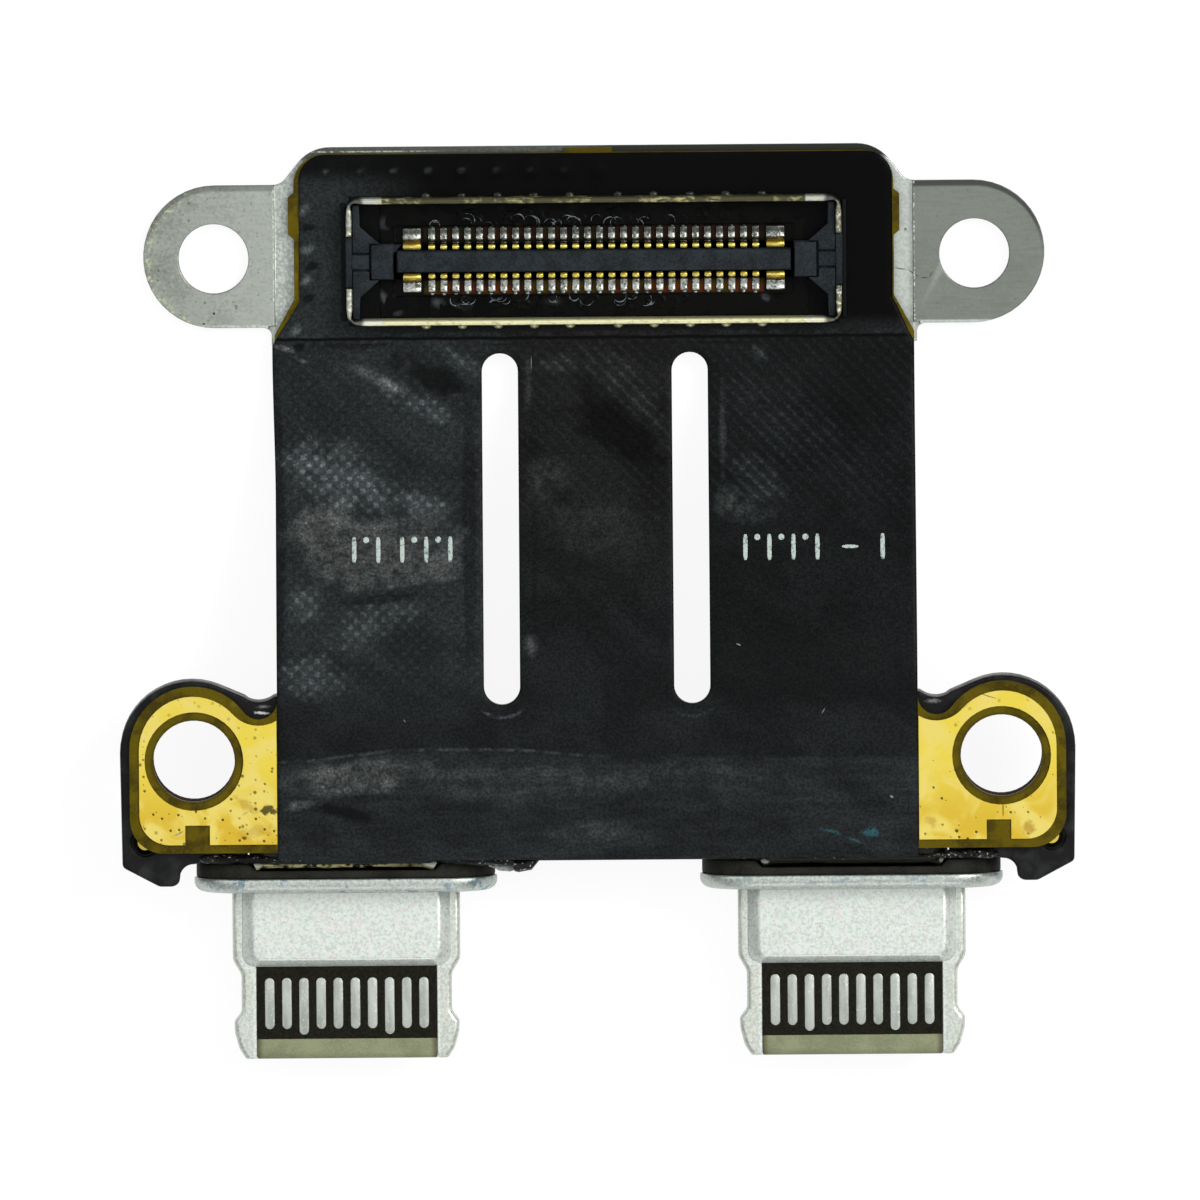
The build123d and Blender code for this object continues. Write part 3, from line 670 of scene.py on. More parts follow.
@dataclass(frozen=True)
class CoverFilm(Finish):
    """Black cover film: an embossed diagonal cross hatch whose dots are painted light and dark,
    pale patches of painted sheen, a nearly black head, streaks over the carrier, and a fine grain
    all over. Painted shade lies in patches, along the edges, along the crease and below some
    vias, and painted highlights on the vias, on the crease's ridge, along the slots' edges and
    in an arch below each slot.

    Attributes:
        hatch, hatch_depth: The hatch's pitch across and along, and its relief.
        head_y: Where the smooth head begins, at the crease.
        wear_and_sheen: Patches of painted sheen that the hatch shows in.
        bloom_and_highlight: Patches of grey brown bloom, which hide the hatch, and painted
        highlights on a ridge below the crease, along the slots' edges and near the upper left
        corner.
        shade: Patches of painted shade.
        scratches: Thin pale lines.
        smudges: Thin flakes of teal ink.
        dimples: The sunk vias to the left of the connector.
        top_row: The upper vias: the first one's X, their pitch and their Y.
        slot_end: The middle of a slot's lower end, and the radius of the arch of painted
        highlight below it.
        window: The black place inside the shield: half its length, its middle and half its width.
        smear: The lower edge of the bloom patch: its slope, and where it fades out.
        margins: Bands of painted shade along the film's edges.
    """

    slot: str = "cover_film"
    black: tuple = rgb(4, 4, 4)
    pale: tuple = rgb(127, 136, 139)
    warm: tuple = rgb(128, 132, 131)
    scratch_and_glint: tuple = rgb(160, 168, 168)
    teal: tuple = rgb(46, 88, 96)
    hatch: float = 0.388
    hatch_depth: float = 0.008
    head_y: float = 7.68
    slot_end: tuple[float, float, float] = (2.77, -2.335, 0.89)
    window: tuple[float, float, float] = (7.20, 9.95, 1.95)
    smear: tuple[float, float, float] = (0.108, 1.12, 1.24)
    margins: tuple[Blot, ...] = (
        Blot(-9.30, 2.0, 0.36, 6.0, 0, 0.55, 0.5),
        Blot(-3.70, 2.2, 0.30, 5.2, 0, 0.45, 0.5),
        Blot(-1.80, 2.2, 0.16, 5.2, 0, 0.30, 0.6),
    )
    wear_and_sheen: tuple[Blot, ...] = (
        Blot(-7.5, 3.6, 2.2, 1.25, -15, 0.19),
        Blot(-8.5, 0.1, 0.7, 0.8, -30, 0.10),
        Blot(-5.1, 2.95, 1.6, 0.45, -5, 0.13),
        Blot(-5.0, 5.70, 1.5, 0.45, -28, 0.12),
        Blot(-4.1, 7.15, 1.0, 0.35, -35, 0.08),
        Blot(-8.2, -2.0, 1.2, 0.9, -10, 0.12),
        Blot(-6.7, -0.5, 2.0, 0.9, 25, 0.08),
        Blot(0.9, 6.3, 2.0, 0.9, -45, 0.035),
        Blot(-1.0, 6.9, 0.8, 0.4, 0, 0.05),
        Blot(4.75, 7.15, 0.45, 0.28, -50, 0.10),
        Blot(4.6, 3.7, 1.3, 0.8, -40, 0.04),
        Blot(5.6, 5.3, 2.8, 1.4, -45, 0.016),
    )
    bloom_and_highlight: tuple[Blot, ...] = (
        Blot(-6.28, 6.50, 1.15, 0.24, -28, 0.22, 0.9),
        Blot(-7.9, 2.0, 1.3, 1.3, 0, 0.17, 0.6),
        Blot(-6.1, 1.45, 2.7, 1.25, 4, 0.13, 0.4),
        Blot(-4.4, 1.2, 0.75, 0.8, 0, 0.15, 0.5),
        Blot(-1.35, 3.65, 0.95, 0.8, -20, 0.06, 1.0),
        Blot(0.0, 2.2, 2.2, 1.2, 0, 0.030),
        Blot(-1.95, 6.4, 0.18, 1.0, 0, 0.08, 1.0),
        Blot(-1.9, -1.15, 0.30, 0.48, 0, 0.15, 1.0),
        Blot(3.72, 4.9, 0.15, 2.4, 0, 0.07, 1.0),
        Blot(3.80, 3.0, 0.5, 0.7, 0, 0.13, 0.9),
        Blot(4.5, 2.6, 1.1, 0.5, -8, 0.07, 0.9),
        Blot(-7.0, -4.95, 2.5, 0.60, 6, 0.14, 0.5),
        Blot(-8.7, -5.75, 0.55, 0.20, 12, 0.20),
        Blot(-1.6, -5.1, 5.0, 0.80, 0, 0.06, 0.8),
        Blot(2.6, -4.9, 2.6, 0.7, 0, 0.030),
        Blot(-0.3, -6.6, 1.7, 0.40, 0, 0.05),
        Blot(-9.0, 7.42, 0.60, 0.12, -12, 0.28, 1.0),
        Blot(-8.5, 7.05, 0.25, 0.14, -20, 0.18, 1.0),
    )
    shade: tuple[Blot, ...] = (
        Blot(-4.8, 6.60, 2.2, 0.62, -22, 0.9),
        Blot(-7.3, 7.48, 1.7, 0.14, -2, 0.5),
        Blot(0.5, 5.2, 2.6, 0.9, -42, 0.8),
        Blot(7.6, 5.8, 2.0, 1.3, -40, 0.4),
        Blot(-6.0, 0.25, 1.7, 0.25, 6, 0.7),
        Blot(-7.4, -5.95, 1.5, 0.35, -8, 0.8),
    )
    scratches: tuple[Blot, ...] = (
        Blot(4.13, -1.16, 0.09, 0.025, -25, 0.6, 0.6),
        Blot(6.58, -3.10, 0.11, 0.022, 60, 0.45, 0.6),
        Blot(-5.62, -3.30, 0.07, 0.022, -60, 0.45, 0.6),
        Blot(-1.85, 6.95, 0.02, 0.30, 0, 0.5, 0.8),
        Blot(8.55, -5.62, 0.07, 0.04, -30, 0.6, 0.6),
    )
    smudges: tuple[Blot, ...] = (
        Blot(6.79, -6.62, 0.40, 0.09, -14, 0.9, 0.8),
        Blot(7.44, -6.87, 0.28, 0.07, -20, 0.9, 0.8),
        Blot(7.93, -6.65, 0.36, 0.18, -8, 1.0, 0.8),
    )
    dimples: tuple[tuple[float, float], ...] = (
        (-8.47, 11.40), (-8.34, 10.27), (-8.41, 9.34), (-8.73, 7.89)
    )
    top_row: tuple[float, float, float] = (-7.80, 0.99, 12.59)

    def vias(self) -> tuple[Blot, ...]:
        """Painted highlights: pale clouds on the dimples over the vias, weaker towards the right.
        """
        up = [Blot(x, y + 0.06, 0.30, 0.20, 35, 0.26, 1.0) for x, y in self.dimples]
        start, pitch, y = self.top_row
        top = [Blot(start + pitch * k, y, 0.17, 0.13, 20, 0.13 - 0.016 * k, 1.0) for k in range(8)]
        return (*up, *top)

    def hollows(self) -> tuple[Blot, ...]:
        """Painted shadows below the dimples of the left column."""
        return tuple(Blot(0.10 + x, y - 0.46, 0.32, 0.20, 20, 0.85) for x, y in self.dimples)

    def weave(self, g: Graph) -> Socket:
        """The hatch's height: one wave along each diagonal, the one that falls to the right
        taking the larger share on the right."""
        total = g.plus(g.axes[0], g.axes[1])
        apart = g.minus(g.axes[0], g.axes[1])
        falling = g.math("COSINE", g.times(total, 2 * pi / self.hatch))
        rising = g.math("COSINE", g.times(apart, 2 * pi / self.hatch))
        lean = g.ramp(g.axes[0], -3.5, -1.5, 0.25, 0.36)
        other = g.minus(0.5, lean)
        both = g.plus(g.times(falling, lean), g.times(rising, other))
        return g.plus(both, 0.5)

    def make(self) -> bpy.types.Material:
        """Makes the material.

        Returns:
            The finished material.
        """
        g = self.graph()
        x = g.axes[0]
        y = g.axes[1]
        cloud = g.noise(0.45, 3.0, g.stretched(1.0, 1.7, 1.0, 30), 0.5)
        patch = g.minus(g.noise(1.1, 6.0), 0.5)
        lumps = g.noise(2.6, 5.0, None, 0.6)
        grain = g.noise(13.0, 4.0)
        wobble = g.minus(lumps, 0.5)
        weave = self.weave(g)
        below = g.ramp(y, self.head_y + 0.02, self.head_y - 0.05)
        # A little lighter towards the head's left: painted sheen.
        head_left = g.times(g.ramp(x, -4.5, -7.6), g.ramp(y, 12.7, 12.1, 0.1, 1.0))
        head = g.most(g.times(head_left, 0.080), g.times(g.ramp(y, 8.35, 7.9), 0.040), 0.0)
        left = g.ramp(x, -2.2, -3.4)
        hatched = g.times(
            g.ramp(y, -3.4, -1.6), below, g.most(left, g.ramp(y, 2.1, 3.2, 0.18, 1.0))
        )
        level = g.math("MULTIPLY_ADD", left, 0.036, g.ramp(x, 2.4, 3.6, 0.034, 0.026))
        level = g.blend(g.ramp(y, -2.2, -3.6), level, 0.038)
        fold = g.plus(y, g.plus(g.ramp(x, -5.2, -9.4, 0.0, 0.33), g.ramp(x, -3.0, 0.2, 0.0, 0.22)))
        level = g.plus(level, g.ramp(fold, -4.14, -4.30, 0.0, 0.024))
        # The broad diagonal cloud lightens and darkens the plain tone in wide patches: painted
        # sheen.
        plain = g.times(level, g.ramp(cloud, 0.36, 0.66, 0.76, 1.25))
        tone = g.blend(below, head, plain)
        across = g.ramp(g.size(x), self.window[0], self.window[0] - 0.1)
        inside = g.times(
            across, g.ramp(g.distance(y, self.window[1]), self.window[2], self.window[2] - 0.1)
        )
        tone = g.times(tone, g.ramp(inside, 0, 1, 1.0, 0.1))
        # Pale patches of painted sheen, where the hatch shows.
        wear_and_sheen = g.times(g.blots(self.wear_and_sheen, patch, 1.5), g.ramp(lumps, 0.34, 0.64, 0.5, 1.35))
        cracks = g.ramp(g.distance(g.noise(3.0, 6.0, None, 0.8), 0.5), 0.0, 0.03, 0.35, 1.0)
        # Grey brown bloom, and painted highlights on a ridge, along the slots' edges and near the
        # upper left corner.
        bloom_and_highlight = g.times(
            g.blots(self.bloom_and_highlight, patch, 1.3), g.ramp(lumps, 0.36, 0.62, 0.5, 1.5), cracks
        )
        sloped = g.math("MULTIPLY_ADD", x, -self.smear[0], y)
        kept = g.most(g.ramp(sloped, *self.smear[1:]), g.ramp(y, -0.3, -0.6), g.ramp(x, -3.4, -3.2))
        bloom_and_highlight = g.times(bloom_and_highlight, kept)
        shade = g.blots(self.shade, patch, 1.8)
        # The hatch's dots painted light and dark, brightest in the patches of painted sheen.
        dots = g.times(
            g.ramp(weave, 0.42, 0.98, -0.36, 0.85), hatched, g.ramp(grain, 0.35, 0.6, 0.5, 1.25)
        )
        lit_hatch_and_sheen = g.math("MULTIPLY_ADD", dots, g.plus(wear_and_sheen, g.ramp(left, 0, 1, 0.011, 0.020)), wear_and_sheen)
        tone = g.plus(tone, lit_hatch_and_sheen)
        # Painted shade in bands along the film's edges.
        tone = g.times(tone, g.ramp(g.blots(self.margins, patch, 0.2), 0, 1, 1.0, 0.1))
        # Painted shade in patches.
        tone = g.times(tone, g.ramp(shade, 0, 1, 1.0, 0.2))
        tone = g.plus(tone, bloom_and_highlight)
        # Painted highlights on the vias' dimples, and painted shadows below those of the left
        # column.
        tone = g.plus(tone, g.blots(self.vias(), wobble, 1.2))
        tone = g.times(tone, g.ramp(g.blots(self.hollows(), wobble, 1.2), 0, 1, 1.0, 0.2))
        # Along the crease: a painted shadow line, a fainter painted dark line below it, and a
        # painted highlight on the ridge above it.
        bend = g.minus(g.noise(0.9, 3.0, g.stretched(1.0, 0.0, 0.0)), 0.5)
        line = g.math("MULTIPLY_ADD", bend, 0.10, y)
        tone = g.times(tone, g.ramp(g.distance(line, self.head_y), 0.02, 0.07, 0.08, 1.0))
        second = g.times(g.band(line, self.head_y - 0.17, 0.01, 0.05), g.ramp(cloud, 0.45, 0.6))
        tone = g.times(tone, g.ramp(second, 0, 1, 1.0, 0.45))
        ridge = g.times(g.band(line, self.head_y + 0.13, 0.02, 0.10), g.ramp(lumps, 0.40, 0.62))
        tone = g.plus(tone, g.times(ridge, 0.04))
        edge = g.math("MULTIPLY_ADD", bend, 0.12, fold)
        seam = g.times(
            g.band(edge, -4.15, 0.0, 0.08),
            g.ramp(x, 1.0, -1.5),
            g.ramp(lumps, 0.40, 0.58, 0.15, 1.0),
        )
        tone = g.plus(tone, g.times(seam, 0.12))
        # An arch of painted highlight below each slot's lower end.
        off = g.away(g.size(x), *self.slot_end[:2])
        arch = g.band(off, self.slot_end[2], 0.02, 0.07)
        arch = g.times(arch, g.ramp(y, -2.95, -3.12), g.ramp(lumps, 0.42, 0.6, 0.2, 1.0))
        tone = g.plus(tone, g.times(arch, g.ramp(x, 1.0, -1.0, 0.05, 0.17)))
        streaks = g.ramp(g.noise(3.2, 5.0, g.stretched(0.16, 1.0, 1.0)), 0.36, 0.64, 0.82, 1.2)
        tone = g.times(tone, g.blend(g.ramp(y, -4.0, -4.6), 1.0, streaks))
        tone = g.times(tone, g.ramp(grain, 0.32, 0.68, 0.6, 1.45))
        # Pale specks in the patches of sheen and highlight: painted glints.
        sparks = g.times(g.specks(6.5, 0.24, 0.14), g.ramp(g.plus(wear_and_sheen, bloom_and_highlight), 0.10, 0.26))
        middle = g.times(g.band(x, 0.0, 2.0, 3.0), g.ramp(y, -1.0, 3.0))
        warmth = g.most(middle, g.ramp(bloom_and_highlight, 0.02, 0.12))
        pale = g.mix(warmth, self.pale, self.warm)
        colour = g.mix(tone, self.black, pale)
        colour = g.mix(g.times(sparks, 0.32), colour, self.scratch_and_glint)
        colour = g.mix(g.blots(self.scratches, wobble, 0.5), colour, self.scratch_and_glint)
        teal = g.times(g.blots(self.smudges, wobble, 2.0), g.ramp(grain, 0.38, 0.52, 0.3, 0.9))
        colour = g.mix(teal, colour, self.teal)
        relief = g.times(weave, hatched, g.ramp(wear_and_sheen, 0.0, 0.2, 0.45, 1.0))
        normal = g.bump(relief, self.hatch_depth)
        normal = g.bump(g.plus(g.times(grain, 0.5), lumps), 0.010, normal)
        rough = g.ramp(g.plus(g.times(lumps, 0.5), g.times(grain, 0.5)), 0.35, 0.65, 0.30, 0.48)
        return g.finish(colour, rough, normal, Specular_IOR_Level=0.045)


@dataclass(frozen=True)
class Polyimide(Finish):
    """Olive base layer of the circuit, satin and faintly cloudy, darker on the ring round each
    lower screw hole and along the front and back edges.

    Attributes:
        hole: A lower screw hole's middle.
        front_y, back_y: Where the darker edges begin.
    """

    slot: str = "polyimide"
    base: tuple = rgb(90, 77, 0)
    dark: tuple = rgb(60, 50, 0)
    pale: tuple = rgb(112, 100, 24)
    hole: tuple[float, float] = (11.76, -4.44)
    front_y: float = -7.15
    back_y: float = 12.90

    def make(self) -> bpy.types.Material:
        """Makes the material.

        Returns:
            The finished material.
        """
        g = self.graph()
        y = g.axes[1]
        cloud = g.noise(1.3, 4.0, None, 0.5)
        grain = g.noise(16.0, 3.0)
        colour = g.mix(g.ramp(cloud, 0.36, 0.62), self.dark, self.base)
        colour = g.mix(g.times(g.ramp(grain, 0.5, 0.75), 0.30), colour, self.pale)
        scuffs = g.times(g.specks(1.6, 0.22, 0.14), g.ramp(cloud, 0.5, 0.6))
        colour = g.mix(g.times(scuffs, 0.4), colour, self.pale)
        rim = g.ramp(g.away(g.size(g.axes[0]), *self.hole), 1.30, 1.18)
        edge = g.ramp(y, self.front_y, self.front_y - 0.15)
        colour = g.mix(g.times(g.most(rim, edge), 0.8), colour, self.dark)
        at_top = g.ramp(y, self.back_y, self.back_y + 0.10)
        colour = g.mix(g.times(at_top, 0.6), colour, self.dark)
        normal = g.bump(g.plus(grain, cloud), 0.006)
        return g.finish(
            colour, g.ramp(cloud, 0.35, 0.65, 0.40, 0.55), normal, Specular_IOR_Level=0.08
        )


@dataclass(frozen=True)
class GoldPad(Finish):
    """Gold plating, saturated, with dark pits and orange stains towards the front, a burnt
    spot and a blue grey scratch on the left pad, and a fine crack on the right one.

    Attributes:
        front_y: About where the pads' front edges are.
        burns: Black spots and cracks.
        scratches: Blue grey marks.
        stains: Rust-coloured places.
    """

    slot: str = "gold_pad"
    gold: tuple = rgb(227, 204, 68)
    pale: tuple = rgb(228, 208, 104)
    stain: tuple = rgb(208, 170, 32)
    rust: tuple = rgb(172, 128, 16)
    pit: tuple = rgb(70, 58, 8)
    grey: tuple = rgb(104, 108, 112)
    front_y: float = -7.0
    burns: tuple[Blot, ...] = (
        Blot(-9.66, -5.86, 0.22, 0.15, 24, 1.0, 0.5),
        Blot(-9.46, -5.92, 0.18, 0.11, -12, 1.0, 0.5),
        Blot(-11.4, -6.45, 0.10, 0.10, 0, 0.9, 0.5),
        Blot(-10.3, -6.70, 0.08, 0.06, 0, 0.9, 0.5),
        Blot(11.79, -6.06, 0.022, 0.27, 0, 0.8, 0.6),
        Blot(11.41, -2.72, 0.32, 0.018, -17, 0.7, 0.6),
    )
    scratches: tuple[Blot, ...] = (
        Blot(-10.25, -5.95, 0.20, 0.03, 32, 0.5, 0.5),
        Blot(-12.25, -6.55, 0.20, 0.05, 24, 0.8, 0.5),
        Blot(10.79, -2.95, 0.24, 0.025, 35, 0.4, 0.6),
        Blot(13.0, -3.95, 0.06, 0.05, 0, 0.6, 0.6),
    )
    stains: tuple[Blot, ...] = (
        Blot(12.53, -6.55, 0.26, 0.28, 0, 0.7),
        Blot(9.70, -6.35, 0.26, 0.22, 0, 0.5),
        Blot(-10.2, -5.75, 0.5, 0.18, -30, 0.5),
        Blot(-10.0, -6.5, 0.7, 0.25, 10, 0.4),
    )

    def make(self) -> bpy.types.Material:
        """Makes the material.

        Returns:
            The finished material.
        """
        g = self.graph()
        y = g.axes[1]
        cloud = g.noise(0.9, 4.0, None, 0.7)
        grain = g.noise(11.0, 4.0)
        wobble = g.minus(g.noise(6.0, 4.0), 0.5)
        colour = g.mix(g.ramp(cloud, 0.38, 0.62), self.pale, self.gold)
        stained = g.times(
            g.ramp(y, self.front_y + 2.6, self.front_y + 0.4), g.ramp(cloud, 0.40, 0.58)
        )
        colour = g.mix(g.times(stained, 0.8), colour, self.stain)
        near_front = g.ramp(y, self.front_y + 4.5, self.front_y + 1.0, 0.30, 1.0)
        colour = g.mix(g.blots(self.stains, wobble, 1.6), colour, self.rust)
        few = g.ramp(g.axes[0], 1.0, -1.0, 0.09, 0.26)
        pits = g.most(
            g.specks(2.4, 0.16, few),
            g.specks(4.0, 0.20, few),
            g.times(g.specks(8.0, 0.22, 0.05), 0.7),
        )
        pits = g.times(pits, near_front, g.ramp(cloud, 0.34, 0.52, 0.5, 1.0))
        pits = g.most(pits, g.blots(self.burns, wobble, 1.8))
        colour = g.mix(g.times(pits, 0.92), colour, self.pit)
        marks = g.times(g.blots(self.scratches, wobble, 1.8), g.ramp(grain, 0.36, 0.52))
        colour = g.mix(g.times(marks, 0.85), colour, self.grey)
        height = g.minus(g.times(grain, 0.35), pits)
        normal = g.bump(height, 0.010)
        rough = g.ramp(g.plus(grain, pits), 0.3, 1.2, 0.34, 0.7)
        return g.finish(colour, rough, normal, Metallic=0.5)


@dataclass(frozen=True)
class BracketSteel(Finish):
    """Dull stainless steel: mottled and pitted on the left ear, with a painted sheen brightening
    it towards the step and yellow flecks of painted glint along its rim, finely brushed across
    and darker on the right one, smooth on the thin seat, sparkling along the seat's step, with
    painted shade on its walls, on the ears' upper rims and on the strip along the top edge.

    Attributes:
        step_x: Where the thicker ears begin.
        ear_top, seat_top: The heights of the ears and of the seat.
        ear: An ear's middle, and the radius of its end.
        neck_y: Below this only the seat is left.
        hair: A thin dark hair on the right ear, and a few dark spots.
    """

    slot: str = "bracket_steel"
    left: tuple = rgb(155, 160, 151)
    right: tuple = rgb(125, 130, 123)
    seat: tuple = rgb(198, 205, 199)
    dark: tuple = rgb(84, 88, 80)
    wall: tuple = rgb(62, 64, 56)
    rim: tuple = rgb(42, 44, 38)
    fleck: tuple = rgb(200, 204, 164)
    glint: tuple = rgb(236, 244, 226)
    step_x: float = 9.32
    ear_top: float = 0.40
    seat_top: float = 0.24
    ear: tuple[float, float, float] = (11.10, 10.04, 2.04)
    neck_y: float = 8.14
    hair: tuple[Blot, ...] = (
        Blot(8.94, 9.60, 0.26, 0.024, -9, 0.8, 0.6),
        Blot(9.33, 9.46, 0.25, 0.024, -32, 0.9, 0.6),
        Blot(9.64, 9.34, 0.16, 0.024, -3, 1.0, 0.6),
        Blot(9.83, 9.43, 0.14, 0.022, 60, 0.9, 0.6),
        Blot(9.10, 10.75, 0.05, 0.05, 0, 0.8, 0.5),
        Blot(-11.1, 8.45, 0.05, 0.05, 0, 1.0, 0.5),
        Blot(-11.4, 8.15, 0.05, 0.04, 0, 0.9, 0.5),
    )

    def make(self) -> bpy.types.Material:
        """Makes the material.

        Returns:
            The finished material.
        """
        g = self.graph()
        x, y = g.axes[0], g.axes[1]
        reach = g.size(x)
        cloud = g.noise(1.1, 5.0, None, 0.4)
        grain = g.noise(11.0, 4.0)
        streak = g.noise(7.0, 4.0, g.stretched(0.16, 1.5, 1.0))
        wobble = g.minus(grain, 0.5)
        on_right = g.ramp(x, -1.0, 1.0)
        base = g.mix(on_right, self.left, self.right)
        mottle = g.ramp(g.plus(g.times(cloud, 0.6), g.times(grain, 0.6)), 0.50, 0.76)
        base = g.mix(g.times(mottle, g.ramp(on_right, 0, 1, 0.44, 0.16)), base, self.dark)
        base = g.mix(
            g.times(g.ramp(streak, 0.48, 0.68), g.ramp(on_right, 0, 1, 0.12, 0.15)), base, self.dark
        )
        sheen = g.times(
            g.ramp(x, -12.4, -9.6),
            g.ramp(on_right, 0, 1, 0.35, 0.0),
            g.ramp(cloud, 0.35, 0.6, 0.5, 1.0),
        )
        base = g.mix(sheen, base, self.seat)
        past = g.most(g.minus(reach, self.ear[0]), 0.0)
        inward = g.minus(self.ear[2], g.away(past, 0.0, self.ear[1]))
        # Yellow flecks along the left ear's rim: painted glints.
        flecks = g.times(
            g.ramp(inward, 0.30, 0.06),
            g.ramp(g.noise(9.0, 2.0), 0.54, 0.64),
            g.ramp(x, -11.0, -12.2),
        )
        base = g.mix(g.times(flecks, 0.8), base, self.fleck)
        # Painted shade on the ears' upper rims, stronger on the right.
        turned = g.times(
            g.ramp(inward, 0.11, 0.02), g.ramp(y, 9.8, 11.2), g.ramp(on_right, 0, 1, 0.45, 0.8)
        )
        base = g.mix(turned, base, self.rim)
        on_seat = g.most(
            g.ramp(reach, self.step_x + 0.02, self.step_x - 0.02),
            g.ramp(y, self.neck_y, self.neck_y - 0.06),
        )
        off_seat = g.ramp(on_seat, 0, 1, 1.0, 0.0)
        seat = g.mix(
            g.times(g.ramp(grain, 0.36, 0.62), g.ramp(on_right, 0, 1, 0.85, 0.4)),
            self.seat,
            self.left,
        )
        base = g.mix(g.times(on_seat, 0.92), base, seat)
        # Painted shade on the strip along the top edge.
        beyond = g.ramp(y, 12.80, 12.98)
        base = g.mix(g.times(beyond, g.ramp(on_right, 0, 1, 0.85, 1.0)), base, self.rim)
        glints = g.times(
            g.band(y, 13.14, 0.005, 0.035), g.ramp(grain, 0.40, 0.56), g.ramp(x, -4.0, -6.0)
        )
        base = g.mix(g.times(glints, 0.6), base, self.glint)
        pits = g.times(
            g.most(g.specks(2.2, 0.11, 0.08), g.times(g.specks(5.5, 0.20, 0.10), 0.6)),
            g.ramp(on_right, 0, 1, 1.0, 0.45),
        )
        base = g.mix(g.times(pits, off_seat, 0.7), base, self.dark)
        base = g.mix(g.blots(self.hair, wobble, 0.8), base, self.wall)
        sparkle = g.times(
            g.band(reach, self.step_x + 0.02, 0.005, 0.045), g.ramp(grain, 0.46, 0.60)
        )
        base = g.mix(g.times(sparkle, 0.7), base, self.glint)
        # Painted shade on the walls below the tops of the ears and of the seat.
        drop = g.minus(g.blend(on_seat, self.ear_top, self.seat_top), g.axes[2])
        base = g.mix(g.ramp(drop, 0.010, 0.05), base, self.wall)
        normal = g.bump(
            g.times(g.plus(grain, g.times(streak, 0.5)), g.ramp(on_seat, 0, 1, 1.0, 0.3)), 0.006
        )
        rough = g.ramp(cloud, 0.3, 0.7, 0.38, 0.50)
        return g.finish(base, rough, normal, Metallic=0.70)


@dataclass(frozen=True)
class CarrierCoat(Finish):
    """Satin black coating with a faint grey bloom, small bright chips, painted shade and painted
    highlights in the glossy dips beside the film, and dull brown hole walls.

    Attributes:
        hole: A screw hole's middle, and the radius of its wall.
        dips: Painted shade, where the coating is blackest.
        glints: The highlights in the dips.
    """

    slot: str = "carrier_black"
    dark: tuple = rgb(12, 13, 12)
    bloom: tuple = rgb(37, 40, 38)
    chip: tuple = rgb(150, 155, 150)
    brown: tuple = rgb(46, 27, 4)
    glossy: tuple = rgb(206, 208, 206)
    hole: tuple[float, float, float] = (11.76, -4.44, 1.24)
    dips: tuple[Blot, ...] = (
        Blot(-9.9, -2.95, 1.0, 0.55, 0, 0.9),
        Blot(9.9, -2.95, 1.0, 0.55, 0, 0.9),
    )
    glints: tuple[Blot, ...] = (
        Blot(-9.77, -3.06, 0.30, 0.055, -5, 1.0, 0.7),
        Blot(-9.72, -2.88, 0.26, 0.07, 0, 0.25, 1.0),
        Blot(9.78, -2.86, 0.30, 0.09, 0, 0.28, 1.0),
    )

    def make(self) -> bpy.types.Material:
        """Makes the material.

        Returns:
            The finished material.
        """
        g = self.graph()
        cloud = g.noise(1.6, 4.0, None, 0.5)
        grain = g.noise(18.0, 3.0)
        colour = g.mix(g.ramp(cloud, 0.42, 0.70), self.dark, self.bloom)
        chips = g.times(g.specks(3.2, 0.12, 0.08), g.ramp(cloud, 0.52, 0.62))
        colour = g.mix(g.times(chips, 0.5), colour, self.chip)
        wobble = g.minus(grain, 0.5)
        # Painted shade in the dips.
        colour = g.mix(g.blots(self.dips, wobble, 0.4), colour, self.dark)
        # Painted highlights in the dips.
        colour = g.mix(g.blots(self.glints, wobble, 1.2), colour, self.glossy)
        off = g.away(g.size(g.axes[0]), *self.hole[:2])
        wall = g.ramp(off, self.hole[2] + 0.03, self.hole[2])
        colour = g.mix(wall, colour, self.brown)
        rough = g.most(g.ramp(cloud, 0.35, 0.65, 0.34, 0.5), wall)
        normal = g.bump(g.plus(grain, g.times(cloud, 0.6)), 0.008)
        return g.finish(colour, rough, normal, Specular_IOR_Level=0.15)


@dataclass(frozen=True)
class HousingPlastic(Finish):
    """Slate-coloured fine-grained moulding, speckled where it caught the light, and near black
    on its floor and outside its ends, which begin at end_x."""

    slot: str = "housing_black"
    dark: tuple = rgb(21, 25, 27)
    light: tuple = rgb(42, 48, 53)
    deep: tuple = rgb(9, 10, 10)
    end_x: float = 7.20

    def make(self) -> bpy.types.Material:
        """Makes the material.

        Returns:
            The finished material.
        """
        g = self.graph()
        grain = g.noise(17.0, 4.0)
        cloud = g.noise(1.8, 3.0)
        share = g.ramp(g.plus(g.times(grain, 0.7), g.times(cloud, 0.5)), 0.40, 0.80)
        colour = g.mix(share, self.dark, self.light)
        outside = g.ramp(g.size(g.axes[0]), self.end_x, self.end_x + 0.05, 0.0, 0.7)
        colour = g.mix(g.most(outside, g.ramp(g.axes[2], 0.80, 0.70)), colour, self.deep)
        return g.even(colour, grain, (0.48, 0.62), 0.008, 0.10)


